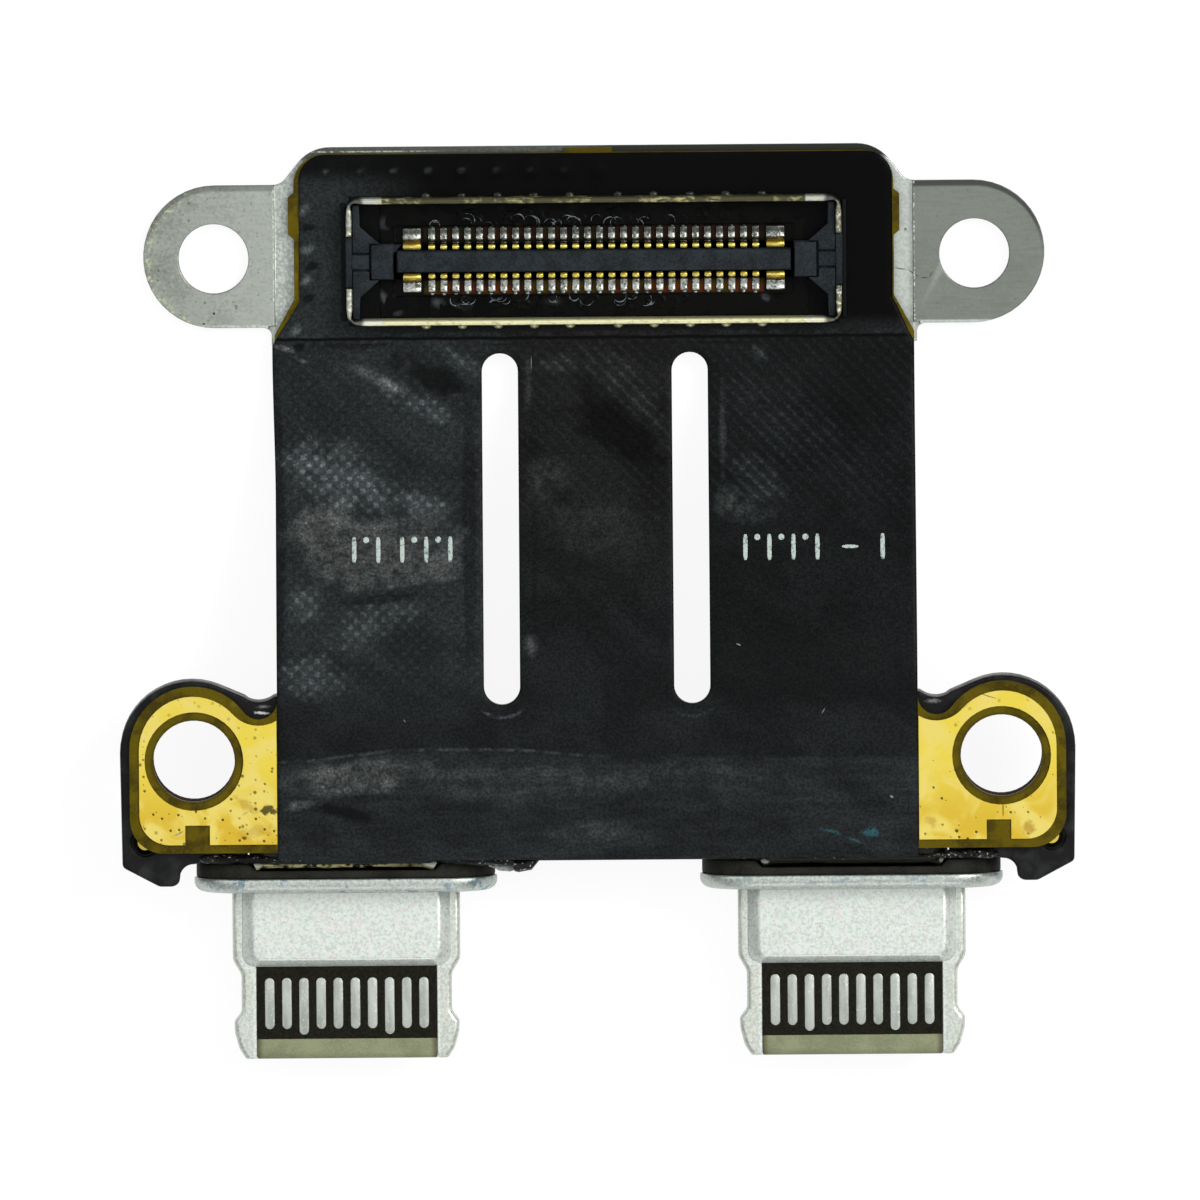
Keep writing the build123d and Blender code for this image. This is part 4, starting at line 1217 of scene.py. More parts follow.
@dataclass(frozen=True)
class ShieldPlate(Finish):
    """Plated wall of the board connector, one metal painted lit and shaded: a dull olive upper run
    in painted shade with cream streaks of painted highlight, a bright pale gold lower run in
    painted light, whiter end pieces with painted highlights, dark corners in painted shade,
    and grey solder on the feet above.

    Attributes:
        end_x: Where the whiter end pieces begin.
        middle_y: The connector's middle line.
        knee: A corner's place off the middle, across and along.
        outer: Half the wall's outer width.
    """

    slot: str = "shield_metal"
    dull: tuple = rgb(76, 74, 52)
    cream: tuple = rgb(172, 166, 118)
    side: tuple = rgb(112, 112, 92)
    bright: tuple = rgb(232, 229, 182)
    ends: tuple = rgb(230, 232, 222)
    brown: tuple = rgb(88, 78, 40)
    dark: tuple = rgb(34, 35, 31)
    solder: tuple = rgb(56, 58, 54)
    end_x: float = 6.15
    middle_y: float = 9.95
    knee: tuple[float, float] = (6.95, 1.74)
    outer: float = 1.87

    def make(self) -> bpy.types.Material:
        """Makes the material.

        Returns:
            The finished material.
        """
        g = self.graph()
        x, y = g.axes[0], g.axes[1]
        reach = g.size(x)
        off = g.distance(y, self.middle_y)
        grain = g.noise(9.0, 4.0, g.stretched(0.6, 1.0, 1.0))
        cloud = g.noise(1.5, 3.0)
        above = g.ramp(y, self.middle_y - 0.2, self.middle_y + 0.2)
        # The upper run in painted shade, with cream streaks of painted highlight.
        upper = g.mix(
            g.times(g.ramp(cloud, 0.46, 0.62), g.ramp(grain, 0.40, 0.60)), self.dull, self.cream
        )
        # The lower run in painted light.
        lower = g.mix(g.times(g.ramp(grain, 0.50, 0.72), 0.4), self.bright, self.brown)
        colour = g.mix(above, lower, upper)
        # Whiter end pieces: painted highlights.
        at_end = g.ramp(reach, self.end_x, self.end_x + 0.06)
        white = g.mix(g.times(g.ramp(cloud, 0.45, 0.6), 0.5), self.ends, self.bright)
        colour = g.mix(g.times(at_end, 0.85, g.ramp(above, 0, 1, 1.0, 0.75)), colour, white)
        fine = g.noise(8.0, 3.0)
        on_side = g.times(
            g.ramp(reach, self.knee[0] + 0.02, self.knee[0] + 0.08), g.ramp(fine, 0.62, 0.46)
        )
        colour = g.mix(g.times(on_side, g.ramp(x, -1.0, 1.0, 0.6, 0.95)), colour, self.side)
        # Dark corners: painted shade.
        knee_x = g.math("POWER", g.distance(reach, self.knee[0]), 2.0)
        knee_y = g.math("POWER", g.distance(off, self.knee[1]), 2.0)
        knee = g.ramp(g.math("SQRT", g.plus(knee_x, knee_y)), 0.14, 0.30, 1.0, 0.0)
        colour = g.mix(g.times(knee, 0.85), colour, self.dark)
        past = g.ramp(off, self.outer, self.outer + 0.02)
        colour = g.mix(g.times(past, 0.5), colour, self.side)
        foot = g.times(past, above)
        colour = g.mix(foot, colour, g.mix(g.ramp(grain, 0.42, 0.60), self.dark, self.solder))
        normal = g.bump(grain, 0.012)
        return g.finish(colour, g.ramp(grain, 0.3, 0.7, 0.28, 0.44), normal, Metallic=0.7)


@dataclass(frozen=True)
class BoardContactPlating(Finish):
    """Contacts of the board connector: gold on the uprights, with painted shade deepening it on the
    far side of each crown, lower down and on the wide contacts' outer sides, and bright uneven tin
    on the tails, with painted shade making the upper row's darker and greyer towards their outer
    ends.

    Attributes:
        middle_y: The middle line between the rows.
        tips: Where the gold ends, on the narrow and on the wide contacts.
        wide_x: Where the wide contacts begin.
        crown_z: The crowns' height.
    """

    slot: str = "board_contact"
    gold: tuple = rgb(238, 222, 122)
    deep: tuple = rgb(178, 150, 30)
    olive: tuple = rgb(136, 106, 8)
    tin: tuple = rgb(188, 192, 186)
    grey: tuple = rgb(84, 86, 81)
    shadow: tuple = rgb(22, 19, 13)
    middle_y: float = 9.95
    tips: tuple[float, float] = (0.515, 0.585)
    wide_x: float = 5.0
    crown_z: float = 0.90

    def make(self) -> bpy.types.Material:
        """Makes the material.

        Returns:
            The finished material.
        """
        g = self.graph()
        y, z = g.axes[1], g.axes[2]
        reach = g.distance(y, self.middle_y)
        lumps = g.noise(6.5, 4.0, None, 0.8)
        fine = g.noise(14.0, 3.0)
        upper = g.ramp(y, self.middle_y - 0.1, self.middle_y + 0.1)
        outer = g.times(g.ramp(reach, 0.74, 0.84), upper)
        # Painted shade: the upper row's tin darker, and greyer towards its outer ends.
        shade = g.minus(
            g.ramp(g.plus(g.times(lumps, 0.6), g.times(fine, 0.4)), 0.36, 0.58),
            g.times(outer, 0.55),
        )
        shade = g.minus(shade, g.times(upper, 0.28))
        tin = g.mix(g.most(shade, 0.0), self.grey, self.tin)
        top_side = g.ramp(y, self.middle_y + 0.42, self.middle_y + 0.50)
        low_side = g.ramp(y, self.middle_y - 0.47, self.middle_y - 0.40)
        # Painted shade deepening the gold on the far side of each crown and lower down the
        # uprights.
        deep_part = g.most(
            g.times(top_side, upper), g.times(low_side, g.ramp(upper, 0, 1, 1.0, 0.0))
        )
        gold = g.mix(g.times(deep_part, 0.8), self.gold, self.deep)
        gold = g.mix(g.ramp(z, self.crown_z - 0.10, self.crown_z - 0.30), gold, self.deep)
        # Painted shade: the wide contacts' outer sides olive.
        wide = g.ramp(g.size(g.axes[0]), self.wide_x, self.wide_x + 0.05)
        gold = g.mix(g.times(wide, g.ramp(reach, 0.44, 0.50), 0.85), gold, self.olive)
        tip = g.ramp(wide, 0, 1, *self.tips)
        past = g.minus(reach, tip)
        colour = g.mix(g.ramp(past, -0.01, 0.01), gold, tin)
        gap = g.times(g.ramp(z, 0.61, 0.56), g.ramp(reach, 0.62, 0.58))
        colour = g.mix(g.times(gap, g.ramp(upper, 0, 1, 0.5, 1.0)), colour, self.shadow)
        normal = g.bump(lumps, 0.012)
        return g.finish(colour, g.ramp(lumps, 0.3, 0.7, 0.24, 0.42), normal, Metallic=0.75)


@dataclass(frozen=True)
class PortNickel(Finish):
    """Bead-blasted nickel: a fine pale sparkle on the tongue's trays, a greyer flange with blue
    smudges and a bright front line, and yellowish flecks on the rails.

    Attributes:
        flange_y: The flange's front and back.
        tray_half, front_y: Half the width of the trays and their front, beyond which the rails
            show.
        port_x: The middle of each port.
    """

    slot: str = "port_metal"
    base: tuple = rgb(223, 229, 223)
    dark: tuple = rgb(196, 202, 196)
    glint: tuple = rgb(246, 250, 245)
    green: tuple = rgb(204, 224, 208)
    pink: tuple = rgb(232, 218, 220)
    smudge: tuple = rgb(82, 122, 142)
    warm: tuple = rgb(212, 215, 202)
    wing: tuple = rgb(186, 193, 185)
    near_black: tuple = rgb(14, 14, 12)
    grey: tuple = rgb(166, 173, 168)
    shade: tuple = rgb(120, 126, 120)
    flange_y: tuple[float, float] = (-8.35, -7.93)
    port_x: float = 7.375
    tray_half: float = 3.05
    front_y: float = -10.60

    def make(self) -> bpy.types.Material:
        """Makes the material.

        Returns:
            The finished material.
        """
        g = self.graph()
        x, y, z = g.axes[0], g.axes[1], g.axes[2]
        off = g.distance(g.size(x), self.port_x)
        grain = g.noise(12.0, 5.0)
        fine = g.noise(26.0, 2.0)
        cloud = g.noise(1.3, 4.0, None, 0.5)
        colour = g.mix(g.ramp(grain, 0.34, 0.60), self.dark, self.base)
        colour = g.mix(g.ramp(fine, 0.58, 0.74), colour, self.glint)
        tint = g.noise(8.0, 3.0)
        colour = g.mix(g.times(g.ramp(tint, 0.54, 0.66), 0.45), colour, self.green)
        colour = g.mix(g.times(g.ramp(tint, 0.46, 0.34), 0.45), colour, self.pink)
        colour = g.mix(g.times(g.ramp(cloud, 0.50, 0.66), 0.20), colour, self.warm)
        wing = g.ramp(off, self.tray_half, self.tray_half + 0.04)
        front = g.ramp(y, self.front_y, self.front_y - 0.04)
        wing = g.most(g.times(wing, g.ramp(z, 1.94, 1.90)), g.times(front, g.ramp(off, 2.7, 2.75)))
        body = g.mix(g.ramp(grain, 0.38, 0.62), self.wing, self.warm)
        colour = g.mix(g.times(wing, g.ramp(fine, 0.55, 0.70, 0.85, 0.4)), colour, body)
        on_flange = g.ramp(y, self.flange_y[0] - 0.03, self.flange_y[0] + 0.01)
        body = g.mix(g.ramp(grain, 0.38, 0.64), self.grey, self.dark)
        colour = g.mix(g.times(on_flange, 0.85), colour, body)
        blotch = g.plus(g.times(g.noise(1.7, 2.0), 0.6), g.times(g.noise(7.0, 4.0), 0.4))
        blue = g.times(on_flange, g.ramp(blotch, 0.54, 0.62), g.ramp(x, 1.0, -1.0, 0.5, 1.0))
        colour = g.mix(g.times(blue, 0.7), colour, self.smudge)
        # Near black on the box's top behind the flange.
        behind = g.times(g.ramp(y, -7.94, -7.90), g.ramp(z, 2.80, 2.90))
        colour = g.mix(g.times(behind, 0.97), colour, self.near_black)
        specks = g.times(g.specks(4.5, 0.15, 0.07), g.ramp(cloud, 0.40, 0.56, 0.3, 1.0))
        colour = g.mix(g.times(specks, 0.5), colour, self.shade)
        normal = g.bump(g.plus(g.times(grain, 0.6), g.times(fine, 0.4)), 0.006)
        return g.finish(colour, g.ramp(grain, 0.3, 0.7, 0.34, 0.46), normal, Metallic=0.72)


@dataclass(frozen=True)
class GasketRubber(Finish):
    """Matte black rubber with a fine grain."""

    slot: str = "gasket_rubber"
    dark: tuple = rgb(24, 24, 20)
    light: tuple = rgb(42, 43, 37)

    def make(self) -> bpy.types.Material:
        """Makes the material.

        Returns:
            The finished material.
        """
        g = self.graph()
        grain = g.noise(15.0, 3.0)
        cloud = g.noise(1.5, 3.0)
        share = g.ramp(g.plus(g.times(grain, 0.5), g.times(cloud, 0.5)), 0.38, 0.62)
        colour = g.mix(share, self.dark, self.light)
        return g.even(colour, grain, (0.6, 0.75), 0.010, 0.12)


@dataclass(frozen=True)
class NosePlastic(Finish):
    """Beige grey moulding of the tongue's end, darker and browner at its two ends.

    Attributes:
        port_x, half: A port's middle, and half the moulding's length.
    """

    slot: str = "nose_plastic"
    base: tuple = rgb(122, 127, 98)
    pale: tuple = rgb(140, 145, 114)
    end: tuple = rgb(82, 76, 50)
    port_x: float = 7.375
    half: float = 2.62

    def make(self) -> bpy.types.Material:
        """Makes the material.

        Returns:
            The finished material.
        """
        g = self.graph()
        reach = g.distance(g.size(g.axes[0]), self.port_x)
        grain = g.noise(17.0, 3.0)
        cloud = g.noise(1.2, 3.0)
        colour = g.mix(
            g.ramp(g.plus(g.times(grain, 0.5), g.times(cloud, 0.6)), 0.42, 0.68),
            self.base,
            self.pale,
        )
        colour = g.mix(
            g.ramp(reach, self.half - 0.22, self.half - 0.02, 0.0, 0.8), colour, self.end
        )
        return g.even(colour, grain, (0.45, 0.58), 0.006, 0.2)


@dataclass(frozen=True)
class TonguePlastic(Mottled):
    """Matte brown-black moulding between the contacts."""

    slot: str = "tongue_black"
    first: tuple = rgb(16, 15, 9)
    second: tuple = rgb(31, 29, 20)
    lumps: tuple[float, float] = (16.0, 4.0)
    share: tuple[float, float] = (0.36, 0.66)
    rough: tuple[float, float] = (0.5, 0.62)
    depth: float = 0.006
    gloss: float = 0.08


@dataclass(frozen=True)
class TongueContactPlating(Finish):
    """Satin nickel of the tongue's contacts, with faint wear along each strip."""

    slot: str = "tongue_contact"
    base: tuple = rgb(186, 191, 184)
    wear_and_sheen: tuple = rgb(168, 172, 164)
    glint: tuple = rgb(206, 211, 204)

    def make(self) -> bpy.types.Material:
        """Makes the material.

        Returns:
            The finished material.
        """
        g = self.graph()
        grain = g.noise(13.0, 4.0)
        rub = g.noise(5.0, 3.0, g.stretched(1.0, 0.22, 1.0))
        colour = g.mix(g.ramp(rub, 0.42, 0.64), self.base, self.wear_and_sheen)
        colour = g.mix(g.ramp(grain, 0.56, 0.74), colour, self.glint)
        return g.finish(
            colour, g.ramp(grain, 0.3, 0.7, 0.32, 0.44), g.bump(grain, 0.008), Metallic=0.75
        )


@dataclass(frozen=True)
class FluxResidue(Finish):
    """Near-black solder mask and flux in the connector: glossy curls, reddish brown amber
    between the tails, stronger in the lower row, and grey violet bloom here and there.

    Attributes:
        middle_y: The middle line between the rows.
        row_in, row_out: Where the tails start and end, off the middle line.
        row_end: Where the rows end along X.
        bloom_marks: Pale patches in the black.
    """

    slot: str = "cover_film"
    dark: tuple = rgb(7, 7, 6)
    amber: tuple = rgb(80, 38, 8)
    olive: tuple = rgb(62, 50, 6)
    bloom: tuple = rgb(104, 106, 114)
    middle_y: float = 9.95
    row_in: float = 0.58
    row_out: float = 0.98
    row_end: float = 5.0
    bloom_marks: tuple[Blot, ...] = (
        Blot(-6.05, 8.80, 0.55, 0.17, -52, 0.75),
        Blot(-5.75, 8.50, 0.22, 0.20, 0, 0.7),
        Blot(-4.55, 8.72, 0.28, 0.20, -20, 0.6),
        Blot(-3.9, 8.60, 0.45, 0.16, 0, 0.25),
        Blot(-6.1, 11.05, 0.28, 0.30, 0, 0.35),
        Blot(-1.2, 8.74, 0.35, 0.16, 0, 0.25),
        Blot(5.0, 8.80, 0.16, 0.22, 60, 0.5),
    )

    def make(self) -> bpy.types.Material:
        """Makes the material.

        Returns:
            The finished material.
        """
        g = self.graph()
        y = g.axes[1]
        reach = g.distance(y, self.middle_y)
        middle = (self.row_in + self.row_out) / 2
        half = (self.row_out - self.row_in) / 2
        along = g.ramp(g.size(g.axes[0]), self.row_end, self.row_end - 0.1)
        in_row = g.times(g.band(reach, middle, half - 0.05, half + 0.02), along)
        lower = g.ramp(y, self.middle_y - 0.1, self.middle_y + 0.1, 0.9, 0.25)
        cloud = g.noise(1.7, 4.0, None, 0.8)
        wobble = g.minus(g.noise(4.5, 4.0), 0.5)
        amber = g.mix(g.ramp(g.noise(1.1, 3.0), 0.45, 0.58), self.amber, self.olive)
        colour = g.mix(
            g.times(in_row, lower, g.ramp(cloud, 0.34, 0.58, 0.3, 1.0)), self.dark, amber
        )
        bloom = g.times(
            g.blots(self.bloom_marks, wobble, 1.2), g.ramp(wobble, -0.14, 0.12, 0.25, 1.0), 0.55
        )
        colour = g.mix(bloom, colour, self.bloom)
        normal = g.bump(g.noise(7.0, 3.0), 0.010)
        return g.finish(colour, g.ramp(cloud, 0.4, 0.65, 0.3, 0.5), normal, Specular_IOR_Level=0.05)


@dataclass(frozen=True)
class FluxGlint(Mottled):
    """Painted highlights on the glassy edges of the flux curls, bright in places and clouded
    between them.
    """

    slot: str = "cover_film"
    first: tuple = rgb(26, 28, 30)
    second: tuple = rgb(108, 118, 124)
    lumps: tuple[float, float] = (6.0, 4.0)
    share: tuple[float, float] = (0.40, 0.60)
    rough: tuple[float, float] = (0.12, 0.4)
    depth: float = 0.01
    gloss: float = 0.3


@dataclass(frozen=True)
class EdgeSealant(Finish):
    """Glossy black sealant along the front edge, with small white glints and dull patches."""

    slot: str = "cover_film"
    black: tuple = rgb(10, 10, 9)
    dull: tuple = rgb(36, 37, 35)
    glint: tuple = rgb(190, 192, 186)

    def make(self) -> bpy.types.Material:
        """Makes the material.

        Returns:
            The finished material.
        """
        g = self.graph()
        lumps = g.noise(3.6, 4.0, g.stretched(0.6, 1.0, 1.0))
        grain = g.noise(11.0, 3.0)
        colour = g.mix(g.ramp(lumps, 0.46, 0.66), self.black, self.dull)
        glints = g.times(g.ramp(grain, 0.60, 0.68), g.ramp(lumps, 0.42, 0.58))
        colour = g.mix(g.times(glints, 0.8), colour, self.glint)
        normal = g.bump(g.plus(grain, lumps), 0.02)
        return g.finish(
            colour, g.ramp(lumps, 0.35, 0.65, 0.3, 0.5), normal, Specular_IOR_Level=0.10
        )


@dataclass(frozen=True)
class LipTrim(Finish):
    """Lip of the ports' metal boxes: broken pale gold in painted light on black at the left port,
    black at the right one, with bright silver painted highlights at the corners of both."""

    slot: str = "port_metal"
    black: tuple = rgb(14, 14, 11)
    gold: tuple = rgb(196, 190, 132)
    silver: tuple = rgb(176, 181, 168)
    corners: tuple[Blot, ...] = (
        Blot(-9.95, -7.47, 0.20, 0.16, 0, 1.0, 0.6),
        Blot(-4.88, -7.48, 0.30, 0.18, 0, 1.0, 0.6),
        Blot(4.84, -7.48, 0.16, 0.10, 0, 0.7, 0.6),
        Blot(10.00, -7.48, 0.12, 0.10, 0, 0.6, 0.6),
    )

    def make(self) -> bpy.types.Material:
        """Makes the material.

        Returns:
            The finished material.
        """
        g = self.graph()
        x = g.axes[0]
        grain = g.noise(6.0, 5.0, g.stretched(0.8, 1.0, 1.0))
        wobble = g.minus(grain, 0.5)
        lit = g.times(
            g.ramp(x, 0.5, -0.5), g.ramp(grain, 0.42, 0.60), g.ramp(x, -5.6, -6.6, 0.4, 1.0)
        )
        colour = g.mix(g.times(lit, 0.75), self.black, self.gold)
        # Painted highlights at the lips' corners.
        colour = g.mix(g.blots(self.corners, wobble, 1.2), colour, self.silver)
        return g.even(colour, grain, (0.3, 0.5), 0.02, 0.12)


@dataclass(frozen=True)
class TapeScrap(Mottled):
    """Cloudy grey adhesive tape."""

    slot: str = "cover_film"
    first: tuple = rgb(118, 124, 122)
    second: tuple = rgb(178, 186, 184)
    lumps: tuple[float, float] = (5.0, 4.0)
    share: tuple[float, float] = (0.40, 0.60)
    rough: tuple[float, float] = (0.3, 0.5)
    depth: float = 0.01


@dataclass(frozen=True)
class Ink(Mottled):
    """Thin off-white print with teal-grey wear."""

    slot: str = "cover_film"
    first: tuple = rgb(178, 190, 184)
    second: tuple = rgb(96, 116, 118)
    lumps: tuple[float, float] = (9.0, 4.0)
    share: tuple[float, float] = (0.50, 0.66)
    rough: tuple[float, float] = (0.5, 0.7)
    depth: float = 0.004


@dataclass
class Workshop:
    """Turns surfaces and solids into finished pieces that ride on the part.

    Attributes:
        made: The names of the pieces so far.
    """

    made: list[str] = field(default_factory=list)

    def dress(self, piece: bpy.types.Object, finish: Finish) -> None:
        """Gives a piece one finish on all of its faces."""
        piece.data.materials.clear()
        piece.data.materials.append(finish.material)

    def place(
        self, surface: Surface, name: str, finish: Finish, nodes: tuple[str, ...] = ()
    ) -> bpy.types.Object:
        """Makes a new piece.

        Args:
            surface: Its shape.
            name: Its name.
            finish: Its finish.
            nodes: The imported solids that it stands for.

        Returns:
            The piece.
        """
        piece = bpy.data.objects.new(name, surface.mesh(name))
        return self.settle(piece, finish, nodes)

    def settle(
        self, piece: bpy.types.Object, finish: Finish, nodes: tuple[str, ...]
    ) -> bpy.types.Object:
        """Links a piece to the scene, dresses it and ties it to the part."""
        bpy.context.scene.collection.objects.link(piece)
        self.dress(piece, finish)
        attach(piece, BODY)
        if nodes:
            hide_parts(*nodes)
        self.made.append(piece.name)
        LOG.info("%s: %d faces, %s", piece.name, len(piece.data.polygons), type(finish).__name__)
        return piece

    def keep(self, node: str, finish: Finish) -> None:
        """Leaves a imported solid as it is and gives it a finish."""
        self.dress(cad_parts[node], finish)
        LOG.info("%s: kept, %s", node, type(finish).__name__)

    def soften(
        self, node: str, name: str, finish: Finish, edge: float, sharp: float = 32.0
    ) -> bpy.types.Object:
        """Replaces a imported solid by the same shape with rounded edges: its loose triangles are
        merged, flat neighbours joined, and each sharp edge gets a small round. A face that
        bends into none of its neighbours is shaded flat.

        Args:
            node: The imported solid.
            name: The new piece's name.
            finish: Its finish.
            edge: The round's width.
            sharp: The least angle of an edge that's rounded, in degrees.

        Returns:
            The piece.
        """
        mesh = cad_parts[node].data.copy()
        mesh.name = name
        solid = bmesh.new()
        solid.from_mesh(mesh)
        bmesh.ops.remove_doubles(solid, verts=solid.verts, dist=0.0005 * MM)
        bmesh.ops.dissolve_limit(
            solid, angle_limit=radians(0.5), verts=solid.verts, edges=solid.edges
        )
        for face in solid.faces:
            face.smooth = any(
                radians(0.6) < edge.calc_face_angle(0.0) < radians(sharp) for edge in face.edges
            )
        solid.to_mesh(mesh)
        solid.free()
        piece = bpy.data.objects.new(name, mesh)
        rounding = piece.modifiers.new("round", "BEVEL")
        rounding.width = edge * MM
        rounding.segments = 2
        rounding.limit_method = "ANGLE"
        rounding.angle_limit = radians(sharp)
        rounding.use_clamp_overlap = False
        flat = piece.modifiers.new("flat", "WEIGHTED_NORMAL")
        flat.weight = 100
        return self.settle(piece, finish, (node,))


@dataclass
class BendLine:
    """The flex seen from the side: level, down one arc, a straight slope, and level again.

    Attributes:
        low_y, high_y: Where the bend starts and ends.
        radius: The radius of both arcs at the underside.
        tail_level, head_level: The underside's height at the ports and at the connector.
    """

    tail_level: float
    head_level: float
    low_y: float = -2.50
    high_y: float = 7.20
    radius: float = 5.00

    @cached_property
    def turn(self) -> float:
        """How far each arc turns, in radians: the line that touches both circles from inside."""
        run = self.high_y - self.low_y
        spare = 2 * self.radius - (self.tail_level - self.head_level)
        return float(np.arctan2(run, spare) - np.arccos(2 * self.radius / np.hypot(run, spare)))

    def height(self, y: Array, layer: Array | float) -> Array:
        """The height of a layer of the flex.

        Args:
            y: Where along the part.
            layer: How far the layer lies above the underside, square to it.

        Returns:
            The height: level beyond the bend, a circle's height on each arc, and the straight
            line between the arcs' inner ends.
        """
        inner, outer = self.radius - layer, self.radius + layer
        hollow_y = self.high_y - inner * sin(self.turn)
        crown_y = self.low_y + outer * sin(self.turn)
        centre_high = self.head_level + self.radius
        centre_low = self.tail_level - self.radius
        hollow = centre_high - np.sqrt(np.maximum(inner**2 - (y - self.high_y) ** 2, 0))
        crown = centre_low + np.sqrt(np.maximum(outer**2 - (y - self.low_y) ** 2, 0))
        start = centre_low + outer * cos(self.turn)
        end = centre_high - inner * cos(self.turn)
        slope = start + (end - start) * (y - crown_y) / (hollow_y - crown_y)
        tail = self.tail_level + layer + 0 * y
        head = self.head_level + layer + 0 * y
        return np.select(
            [y <= self.low_y, y < crown_y, y < hollow_y, y < self.high_y],
            [tail, crown, slope, hollow],
            head,
        )


@dataclass
class FlexFilm:
    """The cover film's plan and relief.

    Attributes:
        thickness, core: The film's and the base layer's thickness.
        slot_x, slot_width, slot_low, slot_high: The relief slots.
        head_step: How much narrower the head is on each side.
        shoulder_y, neck_y: Where the film starts to narrow, and where the head begins.
        head_corner: The radius of the head's corners.
        window: Half the length and width of the opening for the solder rows.
        step: The grid's spacing.
        hatch, hatch_height: The embossed pattern's pitch across and along, and its height.
        via_row: The bumps above the connector: the first one's X, their pitch and their count.
        via_inset: How far those are from the top edge.
        via_column: The bumps to the connector's left.
        via_reach, via_height: A bump's width and height.
        crease_y: Where the crease below the bracket is.
        head_spread: How much farther the head reaches on the right.
        head_rise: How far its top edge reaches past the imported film's.
        flare: How much farther it reaches on the left, just below the head.
    """

    thickness: float = 0.05
    core: float = 0.25
    slot_x: float = 2.77
    slot_width: float = 1.05
    slot_low: float = -2.86
    slot_high: float = 7.23
    head_step: float = 0.73
    shoulder_y: float = 7.50
    neck_y: float = 8.775
    head_corner: float = 0.75
    window: tuple[float, float] = (5.83, 1.02)
    step: float = 0.10
    hatch: float = 0.388
    hatch_height: float = 0.0045
    via_row: tuple[float, float, int] = (-7.79, 0.99, 9)
    via_inset: float = 0.48
    via_column: tuple[tuple[float, float], ...] = CoverFilm.dimples
    head_spread: float = 0.11
    head_rise: float = 0.13
    flare: float = 0.075
    via_reach: float = 0.24
    via_height: float = 0.050
    crease_y: float = 7.68

    def __post_init__(self) -> None:
        """Reads the film's box and level from the frame."""
        self.box = Box.of("flex_top_film")
        under = Box.of("flex_bottom_film")
        self.bend = BendLine(under.high[2] - self.thickness, under.low[2])
        self.half = self.box.high[0]
        self.low_y, self.top_y = self.box.low[1], self.box.high[1] + self.head_rise
        self.board_y = Box.of("board_connector_shield").middle[1]

    def half_width(self, y: Array) -> Array:
        """Half the film's width: full, then straight in to the head, whose corners are round."""
        head = self.half - self.head_step
        narrowing = np.interp(y, [self.shoulder_y, self.neck_y], [self.half, head])
        into = np.clip(y - (self.top_y - self.head_corner), 0, self.head_corner)
        return narrowing - self.head_corner + np.sqrt(self.head_corner**2 - into**2)

    def spread(self, y: Array) -> Array:
        """How much farther the film reaches on the right, which only the head does."""
        return self.head_spread * ease(y, self.shoulder_y, self.neck_y)

    def flared(self, y: Array) -> Array:
        """How much farther the film reaches on the left, most of it just below the head."""
        return self.flare * ease(y, 3.0, 7.3) * (1 - ease(y, self.shoulder_y, self.neck_y))

    def slot_half(self, y: Array) -> Array:
        """Half a slot's width at a height on the plan: a half circle at each end."""
        radius = self.slot_width / 2
        past = np.maximum(self.slot_low + radius - y, y - (self.slot_high - radius))
        return np.sqrt(np.maximum(radius**2 - np.maximum(past, 0) ** 2, 0))

    def rows(self) -> Array:
        """The grid's rows: even ones, closer ones round each slot's ends and the corners, and
        one on each line where the outline changes."""
        radius = self.slot_width / 2
        swing = np.sin(np.linspace(-pi / 2, pi / 2, 15))
        ends = [self.slot_low + radius + radius * swing, self.slot_high - radius + radius * swing]
        corner = self.top_y - self.head_corner + self.head_corner * np.sin(
            np.linspace(0, pi / 2, 10)
        )
        even = np.arange(self.low_y, self.shoulder_y, self.step)
        head = np.arange(self.shoulder_y, self.top_y, 1.35 * self.step)
        window = self.board_y + np.array([-self.window[1], self.window[1]])
        lines = [self.low_y + 0.03, self.neck_y, self.top_y, *window]
        found = np.unique(np.round(np.concatenate([even, head, *ends, corner, lines]), 4))
        return found[np.concatenate([[True], np.diff(found) > 0.004])]

    def edge_distance(self, x: Array, y: Array) -> Array:
        """About how far a place is from the film's outer edge or from a slot's edge."""
        side = self.half_width(y) + np.where(x > 0, self.spread(y), self.flared(y)) - np.abs(x)
        slot = np.abs(np.abs(x) - self.slot_x) - self.slot_half(y)
        beyond = (y < self.slot_low) | (y > self.slot_high)
        return np.minimum.reduce(
            [side, self.top_y - y, y - self.low_y, np.where(beyond, 9.0, slot)]
        )

    def vias(self) -> Array:
        """The middles of the bumps over the vias: a row above the connector's left half and a
        column to its left."""
        first, pitch, count = self.via_row
        across = first + np.arange(count) * pitch
        above = np.column_stack([across, np.full(across.shape, self.top_y - self.via_inset)])
        return np.concatenate([above, np.array(self.via_column)])

